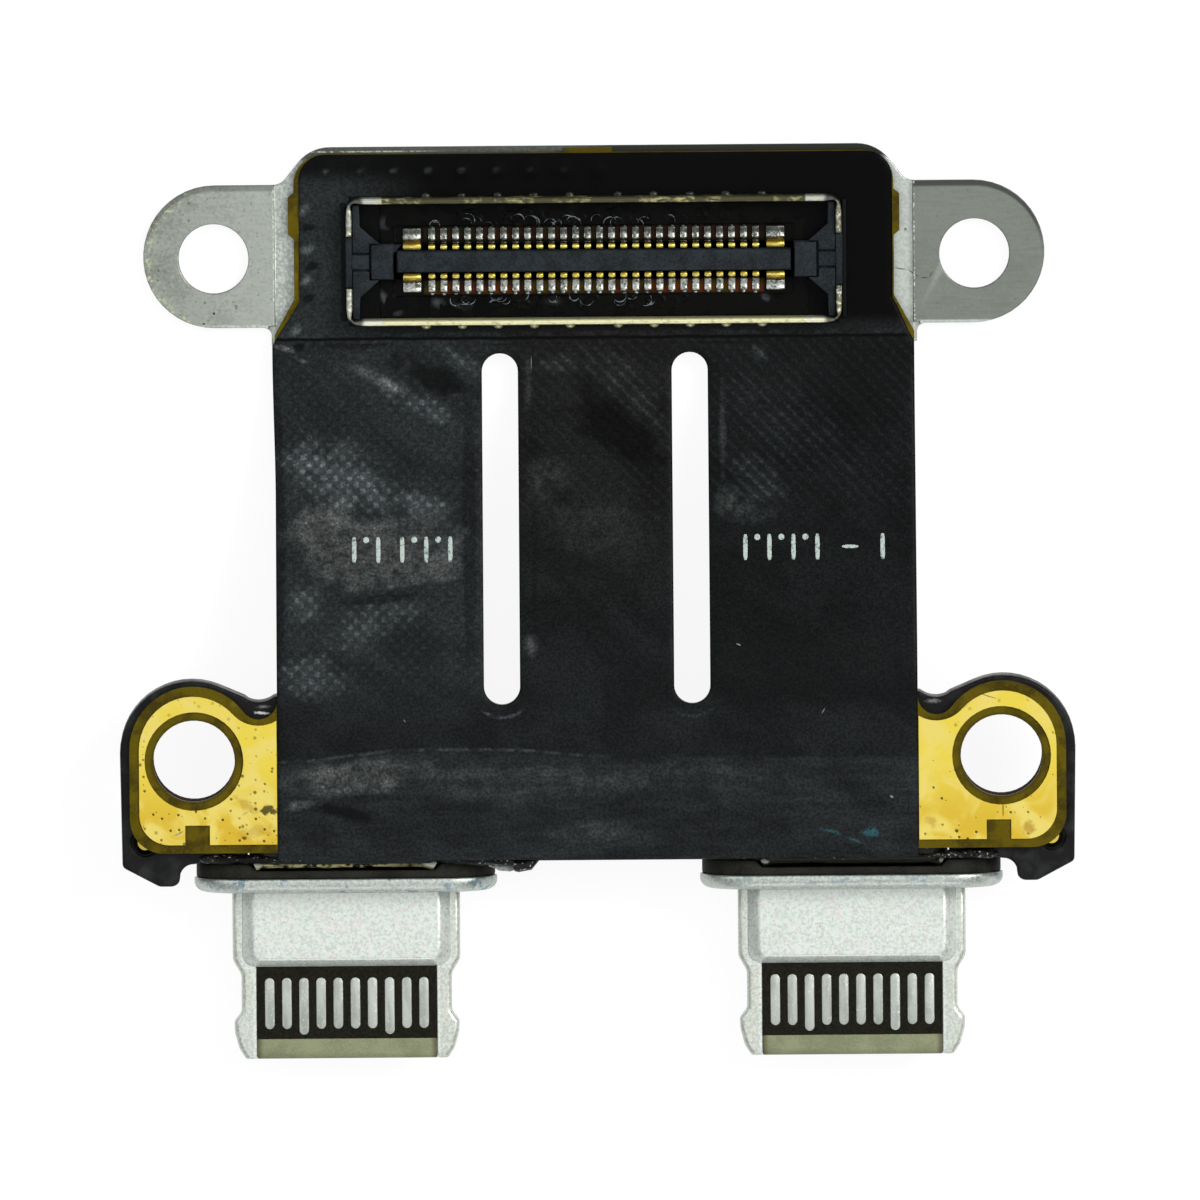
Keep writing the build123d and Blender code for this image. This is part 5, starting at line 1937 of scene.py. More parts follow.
    def relief(self, x: Array, y: Array) -> Array:
        """The film's relief: the hatch, slow waves, the vias, a crease below the bracket, fine
        streaks over the carrier, a ring past each slot's lower end and soft outer edges."""
        fade = ease(y, -4.5, 0.5) * ease(-y, -self.shoulder_y, 0.4 - self.shoulder_y)
        strength = (0.25 + 0.75 * fade) * (0.65 + 0.35 * ripple(x, y, 5.0, 3))
        weave = np.cos(2 * pi * x / self.hatch) * np.cos(2 * pi * y / self.hatch)
        height = self.hatch_height * strength * weave
        height += 0.006 * ripple(x, y, 7.5, 11) + 0.002 * ripple(x, y, 1.7, 12)
        for via_x, via_y in self.vias():
            height += self.via_height * bell(np.hypot(x - via_x, y - via_y), self.via_reach)
            sunk = bell(np.hypot(x - via_x - 0.12, y - via_y + 0.5), self.via_reach)
            height -= 0.6 * self.via_height * sunk * (x < -8.0)
        uneven = 0.8 + 0.3 * ripple(x, 0 * y, 2.5, 5)
        height -= 0.035 * bell(y - self.crease_y, 0.09) * uneven
        height += 0.016 * bell(y - self.crease_y - 0.30, 0.16) * uneven
        streak = np.maximum(ripple(x / 5, y, 0.45, 8), 0)
        height += 0.010 * streak * bell(y + 4.62, 0.7)
        ring = np.hypot(np.abs(x) - self.slot_x, y - self.slot_low - self.slot_width / 2)
        below = ease(-y, -self.slot_low - 0.5, 0.3 - self.slot_low)
        height += 0.008 * bell(ring - self.slot_width / 2 - 0.35, 0.06) * below
        edge = np.maximum(self.edge_distance(x, y), 0)
        height -= 0.032 * np.exp(-((edge / 0.10) ** 2))
        return np.maximum(height, 0.2 * self.thickness - self.thickness)

    def top(self, x: Array, y: Array) -> Array:
        """The height of the film's upper side."""
        return self.bend.height(y, self.thickness + self.core + self.thickness) + self.relief(x, y)

    def plan(self) -> tuple[Array, Array, Array]:
        """The grid on the plan. Each row runs from edge to edge in five stretches, which meet
        the slots' edges and the ends of the window.

        Returns:
            X and Y of each point, and the quads, which leave the slots and the window out.
        """
        y = self.rows()[:, None]
        half, slot = self.half_width(y), self.slot_half(y)
        gap = self.window[0]
        near, far = self.slot_x - slot, self.slot_x + slot

        def stretch(start: Array, end: Array, count: int) -> Array:
            """Even steps from one line to another."""
            return start + (end - start) * np.linspace(0, 1, count + 1)[None]

        side = round((self.half - gap) / self.step)
        inner = round((gap - self.slot_x) / self.step)
        middle = round(2 * self.slot_x / self.step)
        outer_part = stretch(-half, -gap + 0 * y, side)
        inner_part = stretch(-gap + 0 * y, -far, inner)[:, 1:]
        middle_part = stretch(-near, near, middle)
        left = np.hstack([outer_part, inner_part])
        x = np.hstack([left, middle_part, -left[:, ::-1]])
        x = x + self.spread(y) * np.clip((x - gap) / (half - gap), 0, 1)
        x = x - self.flared(y) * np.clip((-x - gap) / (half - gap), 0, 1)
        points = np.stack([x, np.broadcast_to(y, x.shape), 0 * x], axis=-1).transpose(1, 0, 2)
        quads = Surface.grid(points).faces[0]
        flat = points.reshape(-1, 3)
        _, first, weld = np.unique(
            np.round(flat[:, :2], 4), axis=0, return_index=True, return_inverse=True
        )
        quads = weld.ravel()[quads]
        spot = flat[first]
        centre = spot[quads].mean(axis=1)
        in_window = (np.abs(centre[:, 0]) < gap) & (
            np.abs(centre[:, 1] - self.board_y) < self.window[1]
        )
        in_slot = np.abs(np.abs(centre[:, 0]) - self.slot_x) < self.slot_half(centre[:, 1]) - 0.001
        whole = np.array([len(set(q)) for q in quads.tolist()]) == 4
        keep = whole & ~in_window & ~in_slot
        return spot[:, 0], spot[:, 1], quads[keep]

    def surface(self) -> Surface:
        """The film as a closed plate, flat on the base layer below."""
        x, y, quads = self.plan()
        under = self.bend.height(y, self.thickness + self.core)
        return slab(np.column_stack([x, y, self.top(x, y)]), np.column_stack([x, y, under]), quads)


@dataclass
class PrintMarks:
    """Plain bars and dots of ink on the film, which stand where the real part has print.

    Attributes:
        film: The film that they lie on.
        row_y: The height of the row on the plan.
        bar: A bar's width and length.
        dot: A dot's radius.
        lift: The ink's thickness.
        left_bars, left_dots, right_bars, right_dots: Where each stands along X.
    """

    film: FlexFilm
    row_y: float = 1.62
    bar: tuple[float, float] = (0.13, 0.74)
    dot: float = 0.085
    lift: float = 0.010
    left_bars: tuple[float, ...] = (-7.05, -6.35, -5.65, -4.95, -4.25)
    left_dots: tuple[float, ...] = (-6.70, -5.30, -4.60)
    right_bars: tuple[float, ...] = (4.35, 5.05, 5.75, 6.45, 8.35)
    right_dots: tuple[float, ...] = (4.70, 5.40, 6.10)

    def patch(self, x: float, y: float, across: float, along: float) -> Surface:
        """A closed patch of ink with round corners that follows the film.

        Args:
            x, y: Its middle.
            across, along: Half its width and length.

        Returns:
            The patch. Its plan is a square grid pulled into a rounded block: each grid line's
            ends are drawn in by how far the line is out, to the sixth power.
        """
        u, v = np.meshgrid(np.linspace(-1, 1, 7), np.linspace(-1, 1, 9), indexing="ij")
        plan_x = x + across * u * (1 - 0.30 * np.abs(v) ** 6)
        plan_y = y + along * v * (1 - 0.30 * min(1.0, across / along) * np.abs(u) ** 6)
        base = self.film.top(plan_x, plan_y)
        quads = Surface.grid(np.stack([plan_x, plan_y, base], axis=-1)).faces[0]
        flat = np.column_stack([plan_x.ravel(), plan_y.ravel(), base.ravel()])
        up = np.array([0, 0, self.lift])
        return slab(flat + up, flat - up / 2, quads)

    def build(self, shop: Workshop) -> None:
        """Makes the marks as one piece."""
        width, length = self.bar
        bars = [
            self.patch(x, self.row_y, width / 2, length / 2)
            for x in self.left_bars + self.right_bars
        ]
        high = self.row_y + length / 2 - self.dot
        dots = [self.patch(x, high, self.dot, self.dot) for x in self.left_dots + self.right_dots]
        dash = self.patch(7.40, self.row_y, 0.24, 0.05)
        shop.place(Surface.joined([*bars, *dots, dash]), "print_marks", Ink())


@dataclass
class FrontEdge:
    """What shows along the circuit's front edge: black sealant, a lip of each port's box
    with bright corners, dark rubber behind the flange, a lump and a scrap of tape.

    Attributes:
        left, right: A sealant bead's middle and half its width at places along X.
        lump, tape: The same for the lump and for the scrap of tape.
        bead, lump_z, tape_z, lip_z, web_z: The underside and top of the beads, the lump, the
            tape, the lips and the rubber behind the flange.
        web_half: Half that rubber's width.
        lip_x, lip_y: The lips' ends off the middle, and their middle along Y.
        lip_start, lip_end: A lip's half width at distances past its left end and short of its
            right one.
    """

    left: tuple[tuple[float, float, float], ...] = (
        (-11.65, -7.30, 0.02),
        (-11.45, -7.32, 0.13),
        (-9.85, -7.33, 0.14),
        (-9.45, -7.36, 0.08),
        (-9.10, -7.37, 0.05),
        (-4.95, -7.37, 0.05),
        (-4.55, -7.38, 0.12),
        (-3.30, -7.42, 0.14),
        (-2.90, -7.46, 0.13),
        (-2.55, -7.46, 0.12),
        (-2.45, -7.43, 0.04),
    )
    right: tuple[tuple[float, float, float], ...] = (
        (2.90, -7.39, 0.01),
        (3.10, -7.38, 0.05),
        (9.20, -7.37, 0.05),
        (9.90, -7.36, 0.07),
        (10.20, -7.33, 0.13),
        (11.45, -7.32, 0.13),
        (11.65, -7.30, 0.02),
    )
    lump: tuple[tuple[float, float, float], ...] = (
        (-2.58, -7.40, 0.04),
        (-2.46, -7.54, 0.18),
        (-2.33, -7.56, 0.20),
        (-1.95, -7.53, 0.17),
        (-1.78, -7.42, 0.07),
        (-1.72, -7.39, 0.02),
    )
    tape: tuple[tuple[float, float, float], ...] = (
        (-3.20, -7.56, 0.03),
        (-3.05, -7.60, 0.06),
        (-2.90, -7.65, 0.10),
        (-2.60, -7.66, 0.11),
        (-2.42, -7.63, 0.09),
    )
    bead: tuple[float, float] = (3.02, 3.385)
    lump_z: tuple[float, float] = (2.95, 3.36)
    tape_z: tuple[float, float] = (2.95, 3.01)
    lip_z: tuple[float, float] = (2.80, 3.06)
    web_z: tuple[float, float] = (2.45, 2.78)
    web_half: float = 0.10
    lip_x: tuple[float, float] = (4.72, 10.05)
    lip_y: float = -7.50
    lip_start: tuple[tuple[float, float], ...] = ((0.0, 0.03), (0.07, 0.17), (0.32, 0.11))
    lip_end: tuple[tuple[float, float], ...] = ((0.42, 0.11), (0.09, 0.17), (0.0, 0.04))

    def run(
        self, marks: tuple[tuple[float, float, float], ...], low: float, high: float, seed: int
    ) -> Surface:
        """An uneven bead along X. Its section is a flat base under half an ellipse, whose
        width and place are read off the marks and waver by a ripple.

        Args:
            marks: X, the middle and half the width, in the order of X.
            low, high: The underside and the top.
            seed: Picks the ripple.

        Returns:
            The closed bead.
        """
        table = np.array(marks)
        x = np.linspace(table[0, 0], table[-1, 0], 12 + round(24 * (table[-1, 0] - table[0, 0])))
        waver = ripple(x, 0 * x, 0.9, seed)
        half = np.interp(x, table[:, 0], table[:, 2]) * (1 + 0.22 * waver)
        middle = np.interp(x, table[:, 0], table[:, 1]) - 0.012 * ripple(x, 0 * x, 1.7, seed + 1)
        top = high - low - 0.03 * (1 + ripple(x, 0 * x, 0.7, seed + 2)) / 2
        lift = np.linspace(0, pi, 9)
        y = middle[:, None] + half[:, None] * np.cos(lift)
        z = low + top[:, None] * np.sin(lift)
        rings = np.stack([np.broadcast_to(x[:, None], y.shape), y, z], axis=-1)
        bead = Surface.grid(rings, wrap_v=True)
        first = np.arange(len(lift))[::-1]
        last = np.arange(len(lift)) + (len(x) - 1) * len(lift)
        return Surface(bead.points, [*bead.faces, np.stack([first, last])])

    def build(self, shop: Workshop) -> None:
        """Makes and dresses the pieces."""
        sealant = EdgeSealant()
        beads = [
            self.run(marks, *self.bead, seed) for marks, seed in ((self.left, 51), (self.right, 61))
        ]
        shop.place(Surface.joined(beads), "edge_sealant", sealant)
        near, far = self.lip_x
        lips, fills = [], []
        for side in Side:
            start, end = sorted((side.value * near, side.value * far))
            places = [(start + x, half) for x, half in self.lip_start]
            places += [(end - x, half) for x, half in self.lip_end]
            lip = tuple((x, self.lip_y - 0.5 * half + 0.05, half) for x, half in places)
            lips.append(self.run(lip, *self.lip_z, 71))
            web = tuple((x, self.lip_y - 0.14, self.web_half) for x in (start, end))
            fills.append(self.run(web, *self.web_z, 81))
        shop.place(Surface.joined(lips), "port_lips", LipTrim())
        shop.place(Surface.joined(fills), "gasket_webs", GasketRubber())
        shop.place(self.run(self.lump, *self.lump_z, 91), "edge_lump", sealant)
        shop.place(self.run(self.tape, *self.tape_z, 95), "tape_scrap", TapeScrap())


@dataclass
class FlexCircuit:
    """The flexible circuit with its films, gold pads and marks.

    Attributes:
        film: The cover film's shape.
    """

    film: FlexFilm = field(default_factory=FlexFilm)

    def build(self, shop: Workshop) -> None:
        """Makes and dresses the circuit's pieces."""
        film, olive, gold = CoverFilm(), Polyimide(), GoldPad()
        shop.place(self.film.surface(), "cover_film", film, ("flex_top_film",))
        shop.keep("flex_bottom_film", film)
        shop.keep("flex_core", olive)
        for side in Side:
            shop.keep(side.prefix + "lug_pad", gold)
            shop.keep(side.prefix + "ground_stud", gold)
        PrintMarks(self.film).build(shop)
        FrontEdge().build(shop)


@dataclass
class BoardConnector:
    """The board connector: plated wall, contacts, moulding and the residue round the tails.

    Attributes:
        wall: The wall's thickness.
        gap: Half the opening at each end of the wall.
        corner: The wall's outer corner radius.
        half_width: Half the wall's width, outside.
        foot_first, foot_pitch, foot_count: The first foot's place, and the feet's pitch and number.
        signal_width, power_width: The contacts' widths.
        signal_count: How many narrow contacts a row has.
        tip: A contact's upright, from its inner to its outer face, off the middle line.
        wide_tip: The wide contacts' outer face.
        tail_start, tail_end, tail_height: Where a tail starts and ends, and its height.
        soft: How far its edges are rounded.
    """

    wall: float = 0.17
    gap: float = 0.77
    corner: float = 0.30
    half_width: float = 1.86
    foot_first: float = 0.70
    foot_pitch: float = 1.05
    foot_count: int = 5
    signal_width: float = 0.19
    power_width: float = 0.52
    signal_count: int = 28
    tip: tuple[float, float] = (0.34, 0.50)
    wide_tip: float = 0.57
    tail_start: float = 0.59
    tail_end: float = 0.96
    tail_height: float = 0.12
    soft: float = 0.022

    def __post_init__(self) -> None:
        """Reads the connector's place and size from the frame."""
        self.shield = Box.of("board_connector_shield")
        self.signals = Box.of("board_connector_upper_contacts")
        self.power = Box.of("board_connector_power_contacts")
        self.centre = self.shield.middle
        self.half_length = self.shield.high[0]
        self.floor = self.shield.low[2]
        self.board = self.signals.low[2]

    def wall_path(self) -> tuple[Array, Array]:
        """The upper half of the wall's middle line: up one end, round the corner, along the
        long side, round the other corner and down.

        Returns:
            The line's points, and the wall's width at each as a share of the full one, which
            is thinner where the sheet turns the corners.
        """
        inset = self.wall / 2
        x, y = self.half_length - inset, self.half_width - inset
        radius = self.corner - inset
        turn = arc((x - radius, y - radius), radius, 0, 90, 9)
        run = np.column_stack([np.linspace(x - radius, 0, 60)[1:], np.full(59, y)])
        end = np.column_stack([np.full(8, x), np.linspace(self.gap, y - radius, 9)[:-1]])
        right = np.concatenate([end, turn, run])
        line = np.concatenate([right, (right * [-1, 1])[-2::-1]])
        knee = np.array([x - radius * 0.3, y - radius * 0.3])
        away = np.minimum(np.hypot(*(line - knee).T), np.hypot(*(line - knee * [-1, 1]).T))
        return line, 1 - 0.55 * bell(away, 0.20)

    def wall_profile(self) -> Array:
        """The wall's section, as offsets from the middle line and heights: straight sides, a
        round top and a slight spread at the foot."""
        half, top = self.wall / 2, self.shield.size[2]
        radius = 0.07
        right = arc((half - radius, top - radius), radius, 0, 90, 5)
        left = arc((radius - half, top - radius), radius, 90, 180, 5)
        foot = np.array([[half + 0.03, 0.0], [half, 0.08]])
        return np.concatenate([foot, right, left, (foot * [-1, 1])[::-1]])

    def shield_wall(self) -> Surface:
        """Both halves of the wall: the profile carried along the path, offset along the
        path's normal, with a flat cap at each end."""
        line, share = self.wall_path()
        step = np.gradient(line, axis=0)
        normal = np.stack([step[:, 1], -step[:, 0]], axis=-1)
        normal /= np.linalg.norm(normal, axis=1, keepdims=True)
        profile = self.wall_profile()
        flat = line[:, None] + normal[:, None] * (profile[None, :, :1] * share[:, None, None])
        high = self.floor + np.broadcast_to(profile[None, :, 1:], (*flat.shape[:2], 1))
        uneven = 0.012 * ripple(
            line[:, :1], line[:, 1:], 1.6, 21
        )[:, None] * (profile[None, :, 1:] > 0.3)
        half = Surface.grid(np.concatenate([flat, high + uneven], axis=-1), wrap_v=True)
        count = len(profile)
        first, last = np.arange(count)[::-1], np.arange(count) + (len(line) - 1) * count
        half = Surface(half.points, [half.faces[0], np.stack([first, last])])
        walls = Surface.joined([half, half.scaled(1, -1, 1)]).moved(0, self.centre[1], 0)
        return walls

    def shield_feet(self) -> Surface:
        """The solder on each foot: a low dome against the outside of the long walls."""
        spots = self.foot_first + np.arange(self.foot_count) * self.foot_pitch
        x = np.concatenate([spots, -spots])
        rows = [
            np.column_stack(
                [
                    x,
                    np.full(x.shape, self.centre[1] + s * (self.half_width + 0.04)),
                    np.full(x.shape, self.floor - 0.01),
                ]
            )
            for s in (-1, 1)
        ]
        return dome(0.15, 0.10, 0.10, 14, 4).repeated(np.concatenate(rows))

    def contact_outline(self, outer: float, side: int) -> Array:
        """A contact from the side, anticlockwise.

        Args:
            outer: The upright's outer face, off the middle line.
            side: 1 above the ridge, where a low step parts tail and upright, and -1 below it.

        Returns:
            The outline: a flat base, a tail with a round end and a slight dip in its solder,
            the step, and a round crown.
        """
        inner = self.tip[0]
        top, high = self.signals.size[2], self.tail_height
        start = max(self.tail_start, outer + 0.03) if side > 0 else outer + 0.03
        end_y = self.tail_end - (0.0 if side > 0 else 0.05)
        radius = (outer - inner) / 2
        share = np.linspace(0, 1, 8)[1:, None]
        tail = np.hstack(
            [
                end_y - 0.03 + (start + 0.06 - end_y) * share,
                high * (0.80 + 0.20 * np.cos(share * pi) ** 2),
            ]
        )
        end = arc((end_y - 0.03, high - 0.03), 0.03, 0, 90, 4)
        step = np.array([[start + 0.01, high - 0.03], [start, 0.035], [outer, 0.03]])
        crown = arc(((inner + outer) / 2, top - radius), radius, 0, 180, 9)
        return np.concatenate([[[inner, 0.0], [end_y, 0.0]], end, tail, step, crown])

    def row(self, xs: Array, width: float, outer: float, side: int) -> Surface:
        """A row of contacts.

        Args:
            xs: Where each stands.
            width: Their width.
            outer: Their uprights' outer face.
            side: 1 above the ridge and -1 below it.

        Returns:
            The contacts as one surface.
        """
        bar = soft_bar(self.contact_outline(outer, side), width, self.soft).scaled(1, side, 1)
        offsets = np.column_stack(
            [xs, np.full(xs.shape, self.centre[1]), np.full(xs.shape, self.board)]
        )
        return bar.repeated(offsets)

    def curls(self) -> Surface:
        """Painted highlights on the flux's pale edges, as thin tubes: arcs that open towards the
        middle, over the tails' outer ends in both rows, most of them on the left. A curl's tube
        has its radius times the sine of its share of the arc, so that both ends are fine."""
        rng = np.random.default_rng(17)
        surfaces = []
        share = np.linspace(0, 1, 12)[:, None]
        turn = np.linspace(0, 2 * pi, 6, endpoint=False)[None]
        for side, count in ((1, 22), (-1, 18)):
            for _ in range(count):
                x, reach = rng.triangular(-5.0, -2.8, 4.6), rng.uniform(0.97, 1.18)
                size, start, sweep = rng.uniform(
                    0.12, 0.22
                ), rng.uniform(-40, 50), rng.uniform(90, 190)
                thick = rng.uniform(0.011, 0.022) * (0.2 + np.sin(share * pi))
                angle = np.radians(start + sweep * share)
                lift = 0.04 + 0.07 * np.sin(share * pi)
                ring = size + thick * np.cos(turn)
                points = np.stack(
                    [ring * np.cos(angle), ring * np.sin(angle), lift + thick * np.sin(turn)],
                    axis=-1,
                )
                count_v = points.shape[1]
                tube = Surface.grid(points, wrap_v=True)
                last = np.arange(count_v) + (len(share) - 1) * count_v
                tube = Surface(
                    tube.points,
                    [*[f[:, ::-1] for f in tube.faces], np.stack([np.arange(count_v), last[::-1]])],
                )
                surfaces.append(
                    tube.scaled(1, side, 1).moved(x, self.centre[1] + side * reach, self.floor)
                )
        return Surface.joined(surfaces)

    def residue(self, side: int) -> Surface:
        """The solder mask and flux between the ridge and the wall on one side. Its relief is
        a set of curled beads: each is a ring with a bell-shaped section that fades round its
        turn, most of them on the left."""
        film_level, low = self.floor, self.board
        x, reach = np.meshgrid(
            np.linspace(-6.25, 6.25, 300), np.linspace(0.51, 1.66, 34), indexing="ij"
        )
        rng = np.random.default_rng(40 + side)
        height = np.full(x.shape, film_level) + 0.006 * ripple(x, reach, 0.7, 31)
        in_window = (np.abs(x) < 5.8) & (reach < 1.0)
        height -= 0.030 * in_window
        for _ in range(30):
            bead_x = rng.triangular(-5.0, -2.6, 5.0)
            bead_y = rng.uniform(1.08, 1.36)
            radius, start, size = rng.uniform(
                0.09, 0.18
            ), rng.uniform(0, 2 * pi), rng.uniform(0.02, 0.05)
            away = np.hypot(x - bead_x, reach - bead_y)
            turn = np.arctan2(reach - bead_y, x - bead_x)
            height += size * bell(away - radius, 0.035) * (0.55 + 0.45 * np.cos(turn - start))
        low_level = np.where(in_window, low, film_level - 0.01)
        y = self.centre[1] + side * reach
        quads = Surface.grid(np.stack([x, y, height], axis=-1)).faces[0]
        quads = quads if side > 0 else quads[:, ::-1]
        top = np.column_stack([x.ravel(), y.ravel(), height.ravel()])
        return slab(top, np.column_stack([top[:, :2], low_level.ravel()]), quads)

    def solder(self) -> Surface:
        """Small beads of solder at the outer end of each tail."""
        xs = self.signal_places()
        rng = np.random.default_rng(7)
        beads = []
        for side in (-1, 1):
            y = self.centre[1] + side * (self.tail_end - 0.03 + rng.uniform(0.0, 0.04, xs.shape))
            beads.append(
                np.column_stack(
                    [
                        xs + rng.uniform(-0.03, 0.03, xs.shape),
                        y,
                        np.full(xs.shape, self.board + 0.01),
                    ]
                )
            )
        return dome(0.07, 0.05, 0.08, 10, 3).repeated(np.concatenate(beads))

    def signal_places(self) -> Array:
        """Where the narrow contacts stand along X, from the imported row's width."""
        reach = self.signals.high[0] - self.signal_width / 2
        return np.linspace(-reach, reach, self.signal_count)

    def build(self, shop: Workshop) -> None:
        """Makes and dresses the connector's pieces."""
        plating, shield, flux = BoardContactPlating(), ShieldPlate(), FluxResidue()
        xs = self.signal_places()
        for side, name in ((1, "upper"), (-1, "lower")):
            row = self.row(xs, self.signal_width, self.tip[1], side)
            shop.place(
                row, name + "_contact_row", plating, ("board_connector_" + name + "_contacts",)
            )
        wide = self.power.high[0] - self.power_width / 2
        pair = np.array([-wide, wide])
        power = Surface.joined(
            [self.row(pair, self.power_width, self.wide_tip, side) for side in (1, -1)]
        )
        shop.place(power, "wide_contacts", plating, ("board_connector_power_contacts",))
        wall = Surface.joined([self.shield_wall(), self.shield_feet()])
        shop.place(wall, "shield_wall", shield, ("board_connector_shield",))
        shop.place(self.solder(), "tail_solder", plating)
        shop.soften("board_connector_housing", "connector_moulding", HousingPlastic(), 0.022)
        for side, name in ((1, "upper_residue"), (-1, "lower_residue")):
            shop.place(self.residue(side), name, flux)
        shop.place(self.curls(), "flux_curl_highlights", FluxGlint())


@dataclass
class Brackets:
    """The steel bracket under the connector and the black carrier under the ports.

    Attributes:
        bracket_edge, carrier_edge: How far their edges are rounded.
    """

    bracket_edge: float = 0.035
    carrier_edge: float = 0.09

    def build(self, shop: Workshop) -> None:
        """Makes and dresses both."""
        shop.soften("upper_bracket", "bracket_plate", BracketSteel(), self.bracket_edge)
        shop.soften("carrier_frame", "carrier_casting", CarrierCoat(), self.carrier_edge)


@dataclass
class Port:
    """One tongue port.

    Attributes:
        side: Which side of the part it's on.
    """

    side: Side

    def build(self, shop: Workshop) -> None:
        """Makes and dresses the port's pieces."""
        start = self.side.prefix + "port_"
        metal, black, plating = PortNickel(), TonguePlastic(), TongueContactPlating()
        shop.soften(start + "flange", start + "flange_plate", metal, 0.04)
        shop.soften(start + "ground_frame", start + "rails", metal, 0.05)
        shop.soften(start + "upper_ground_plate", start + "upper_tray", metal, 0.06)
        shop.soften(start + "lower_ground_plate", start + "lower_tray", metal, 0.06)
        shop.soften(start + "shell", start + "box", metal, 0.012)
        shop.soften(start + "gasket", start + "seal", GasketRubber(), 0.06)
        shop.soften(start + "nose", start + "tongue_end", NosePlastic(), 0.03)
        shop.soften(start + "upper_contacts", start + "upper_strips", plating, 0.02)
        shop.soften(start + "lower_contacts", start + "lower_strips", plating, 0.02)
        shop.keep(start + "upper_insulator", black)
        shop.keep(start + "lower_insulator", black)


@dataclass(frozen=True)
class Lamp:
    """A square soft lamp aimed at the part.

    Attributes:
        name: Its name.
        place: Where it hangs, in metres.
        size: Its side, in metres.
        power: Its power, in watts.
        colour: Its tint.
    """

    name: str
    place: tuple[float, float, float]
    size: float
    power: float
    colour: tuple[float, float, float] = (1.0, 1.0, 1.0)

    def hang(self) -> None:
        """Adds the lamp to the scene."""
        light = bpy.data.lights.new(self.name, "AREA")
        light.shape, light.size = "SQUARE", self.size
        light.energy, light.color = self.power, self.colour
        lamp = bpy.data.objects.new(self.name, light)
        lamp.location = self.place
        lamp.rotation_euler = Vector(self.place).to_track_quat("Z", "Y").to_euler()
        bpy.context.scene.collection.objects.link(lamp)


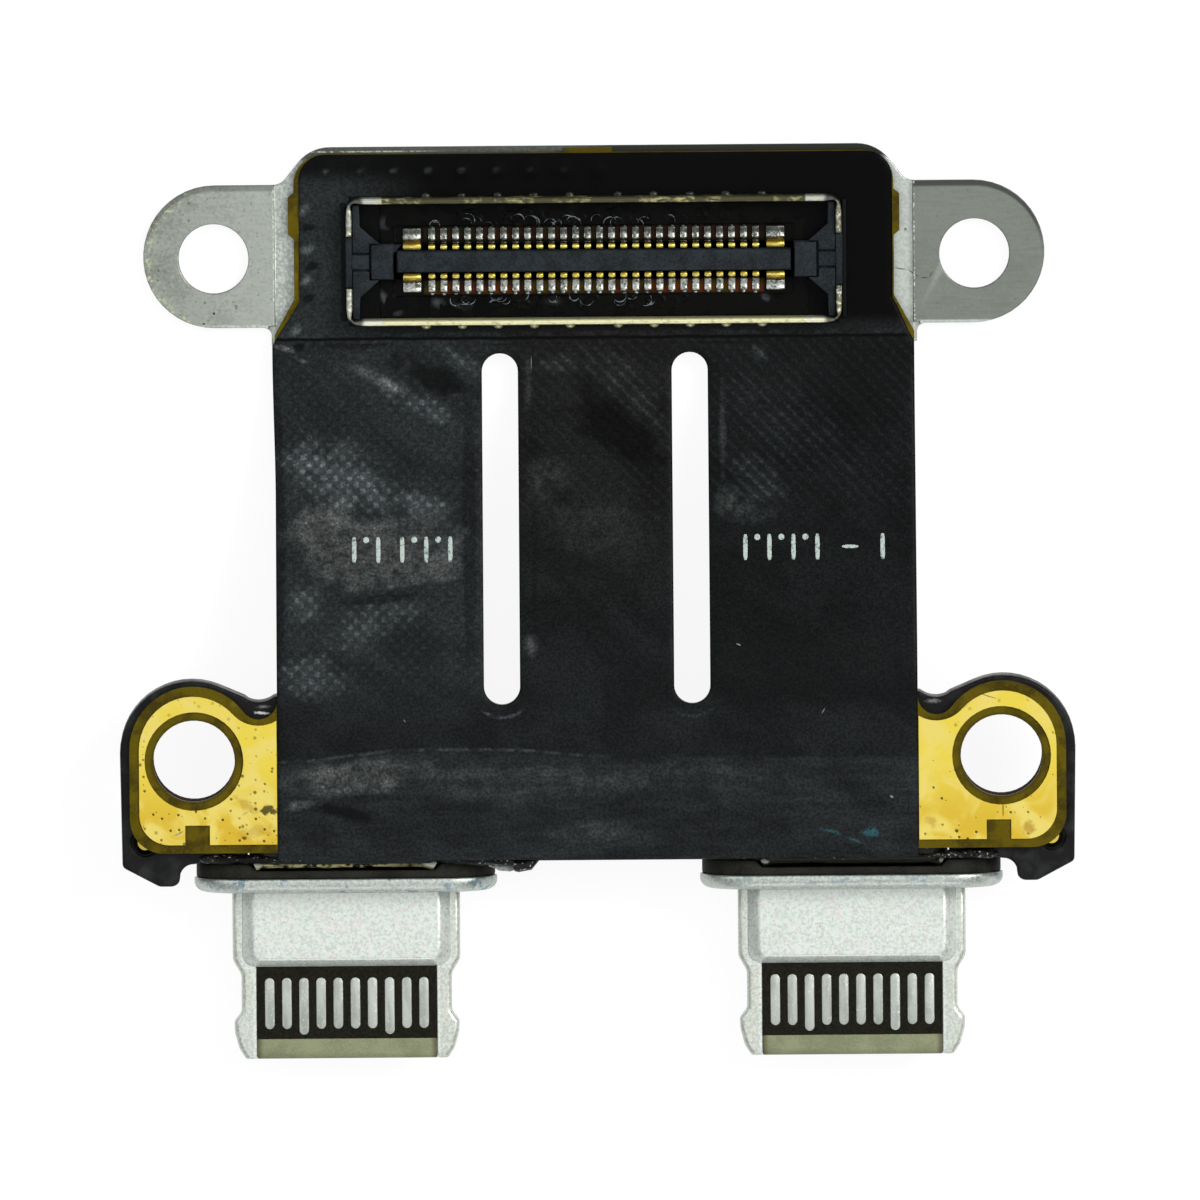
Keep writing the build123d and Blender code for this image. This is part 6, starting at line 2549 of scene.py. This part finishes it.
@dataclass
class Studio:
    """Floor, lamps, sky and camera.

    Attributes:
        view_width: How much of the part's plane the picture spans, in millimetres.
        view_height: The height that the camera is aimed at.
        aim: Where the picture's middle falls, across and along.
        tilt: How far the camera leans towards +Y from straight above, in degrees.
        roll: How far the picture is turned, in degrees.
        lens, sensor: The camera's focal length and sensor width.
        sky, floor_glow: The sky's strength, and that of the floor's own white.
        lamps: The lamps.
    """

    view_width: float = 34.985
    view_height: float = 1.90
    aim: tuple[float, float] = (0.102, 0.0844)
    tilt: float = 3.75
    roll: float = 0.45
    lens: float = 1000.0
    sensor: float = 36.0
    sky: float = 0.34
    floor_glow: float = 0.90
    lamps: tuple[Lamp, ...] = (
        Lamp("softbox", (0.0, 0.08, 1.30), 1.40, 4.5),
        Lamp("key", (0.34, 0.20, 0.38), 0.24, 2.0, (1.0, 0.99, 0.96)),
        Lamp("fill", (-0.36, 0.20, 0.34), 0.30, 0.45, (0.94, 0.98, 1.0)),
        Lamp("front", (0.02, -0.44, 0.26), 0.34, 0.5),
    )

    def camera(self) -> None:
        """Adds the camera: a long lens, almost square to the part."""
        data = bpy.data.cameras.new("camera")
        data.lens, data.sensor_width = self.lens, self.sensor
        back = Vector((0, sin(radians(self.tilt)), cos(radians(self.tilt))))
        away = self.view_width * MM * self.lens / self.sensor
        data.clip_start, data.clip_end = 0.1 * away, 4 * away
        camera = bpy.data.objects.new("camera", data)
        target = Vector((*self.aim, self.view_height)) * MM
        stand = Matrix.Translation(target + back * away)
        lean = Matrix.Rotation(-radians(self.tilt), 4, "X")
        camera.matrix_world = stand @ lean @ Matrix.Rotation(-radians(self.roll), 4, "Z")
        bpy.context.scene.collection.objects.link(camera)
        bpy.context.scene.camera = camera

    def world(self) -> None:
        """Sets an even pale sky."""
        world = bpy.data.worlds.new("sky")
        world.use_nodes = True
        background = world.node_tree.nodes["Background"]
        background.inputs["Color"].default_value = (0.96, 0.98, 1.0, 1.0)
        background.inputs["Strength"].default_value = self.sky
        bpy.context.scene.world = world

    def floor_material(self) -> bpy.types.Material:
        """A pale floor that bounces light as any floor does, and that the camera and
        reflections see as white with the part's soft shadow on it."""
        g = Graph("floor")
        path = g.add("LightPath", {})
        seen = g.most(
            path.outputs["Is Camera Ray"],
            path.outputs["Is Glossy Ray"],
            path.outputs["Is Transmission Ray"],
        )
        pale = g.add("BsdfDiffuse", {"Color": (0.80, 0.80, 0.80, 1.0)})
        thin = g.add("BsdfDiffuse", {"Color": (0.14, 0.14, 0.14, 1.0)})
        glow = g.add("Emission", {"Color": (1.0, 1.0, 1.0, 1.0), "Strength": self.floor_glow})
        shown = g.add("AddShader", {0: thin.outputs[0], 1: glow.outputs[0]})
        both = g.add("MixShader", {0: seen, 1: pale.outputs[0], 2: shown.outputs[0]})
        out = g.add("OutputMaterial", {})
        g.tree.links.new(both.outputs[0], out.inputs["Surface"])
        return g.material

    def floor(self) -> None:
        """Adds the floor that the part rests on."""
        reach = 3000.0
        side = np.linspace(-reach, reach, 3)
        x, y = np.meshgrid(side, side, indexing="ij")
        plane = Surface.grid(np.stack([x, y, 0 * x], axis=-1))
        floor = bpy.data.objects.new("floor", plane.mesh("floor"))
        floor.data.materials.append(self.floor_material())
        bpy.context.scene.collection.objects.link(floor)

    def build(self) -> None:
        """Sets the studio up."""
        bpy.context.scene.view_settings.view_transform = "Standard"
        self.world()
        self.floor()
        for lamp in self.lamps:
            lamp.hang()
        self.camera()


def corners(bounds: tuple[Vector, Vector]) -> list[list[float]]:
    """A box's two corners as plain lists."""
    return [list(corner) for corner in bounds]


def main() -> None:
    """Builds the studio and every piece."""
    logging.basicConfig(level=logging.INFO, format="%(message)s", stream=sys.stdout)
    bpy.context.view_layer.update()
    Studio().build()
    shop = Workshop()
    FlexCircuit().build(shop)
    BoardConnector().build(shop)
    Brackets().build(shop)
    for side in Side:
        Port(side).build(shop)
    LOG.info("%d new pieces", len(shop.made))


if __name__ == "__main__":
    main()
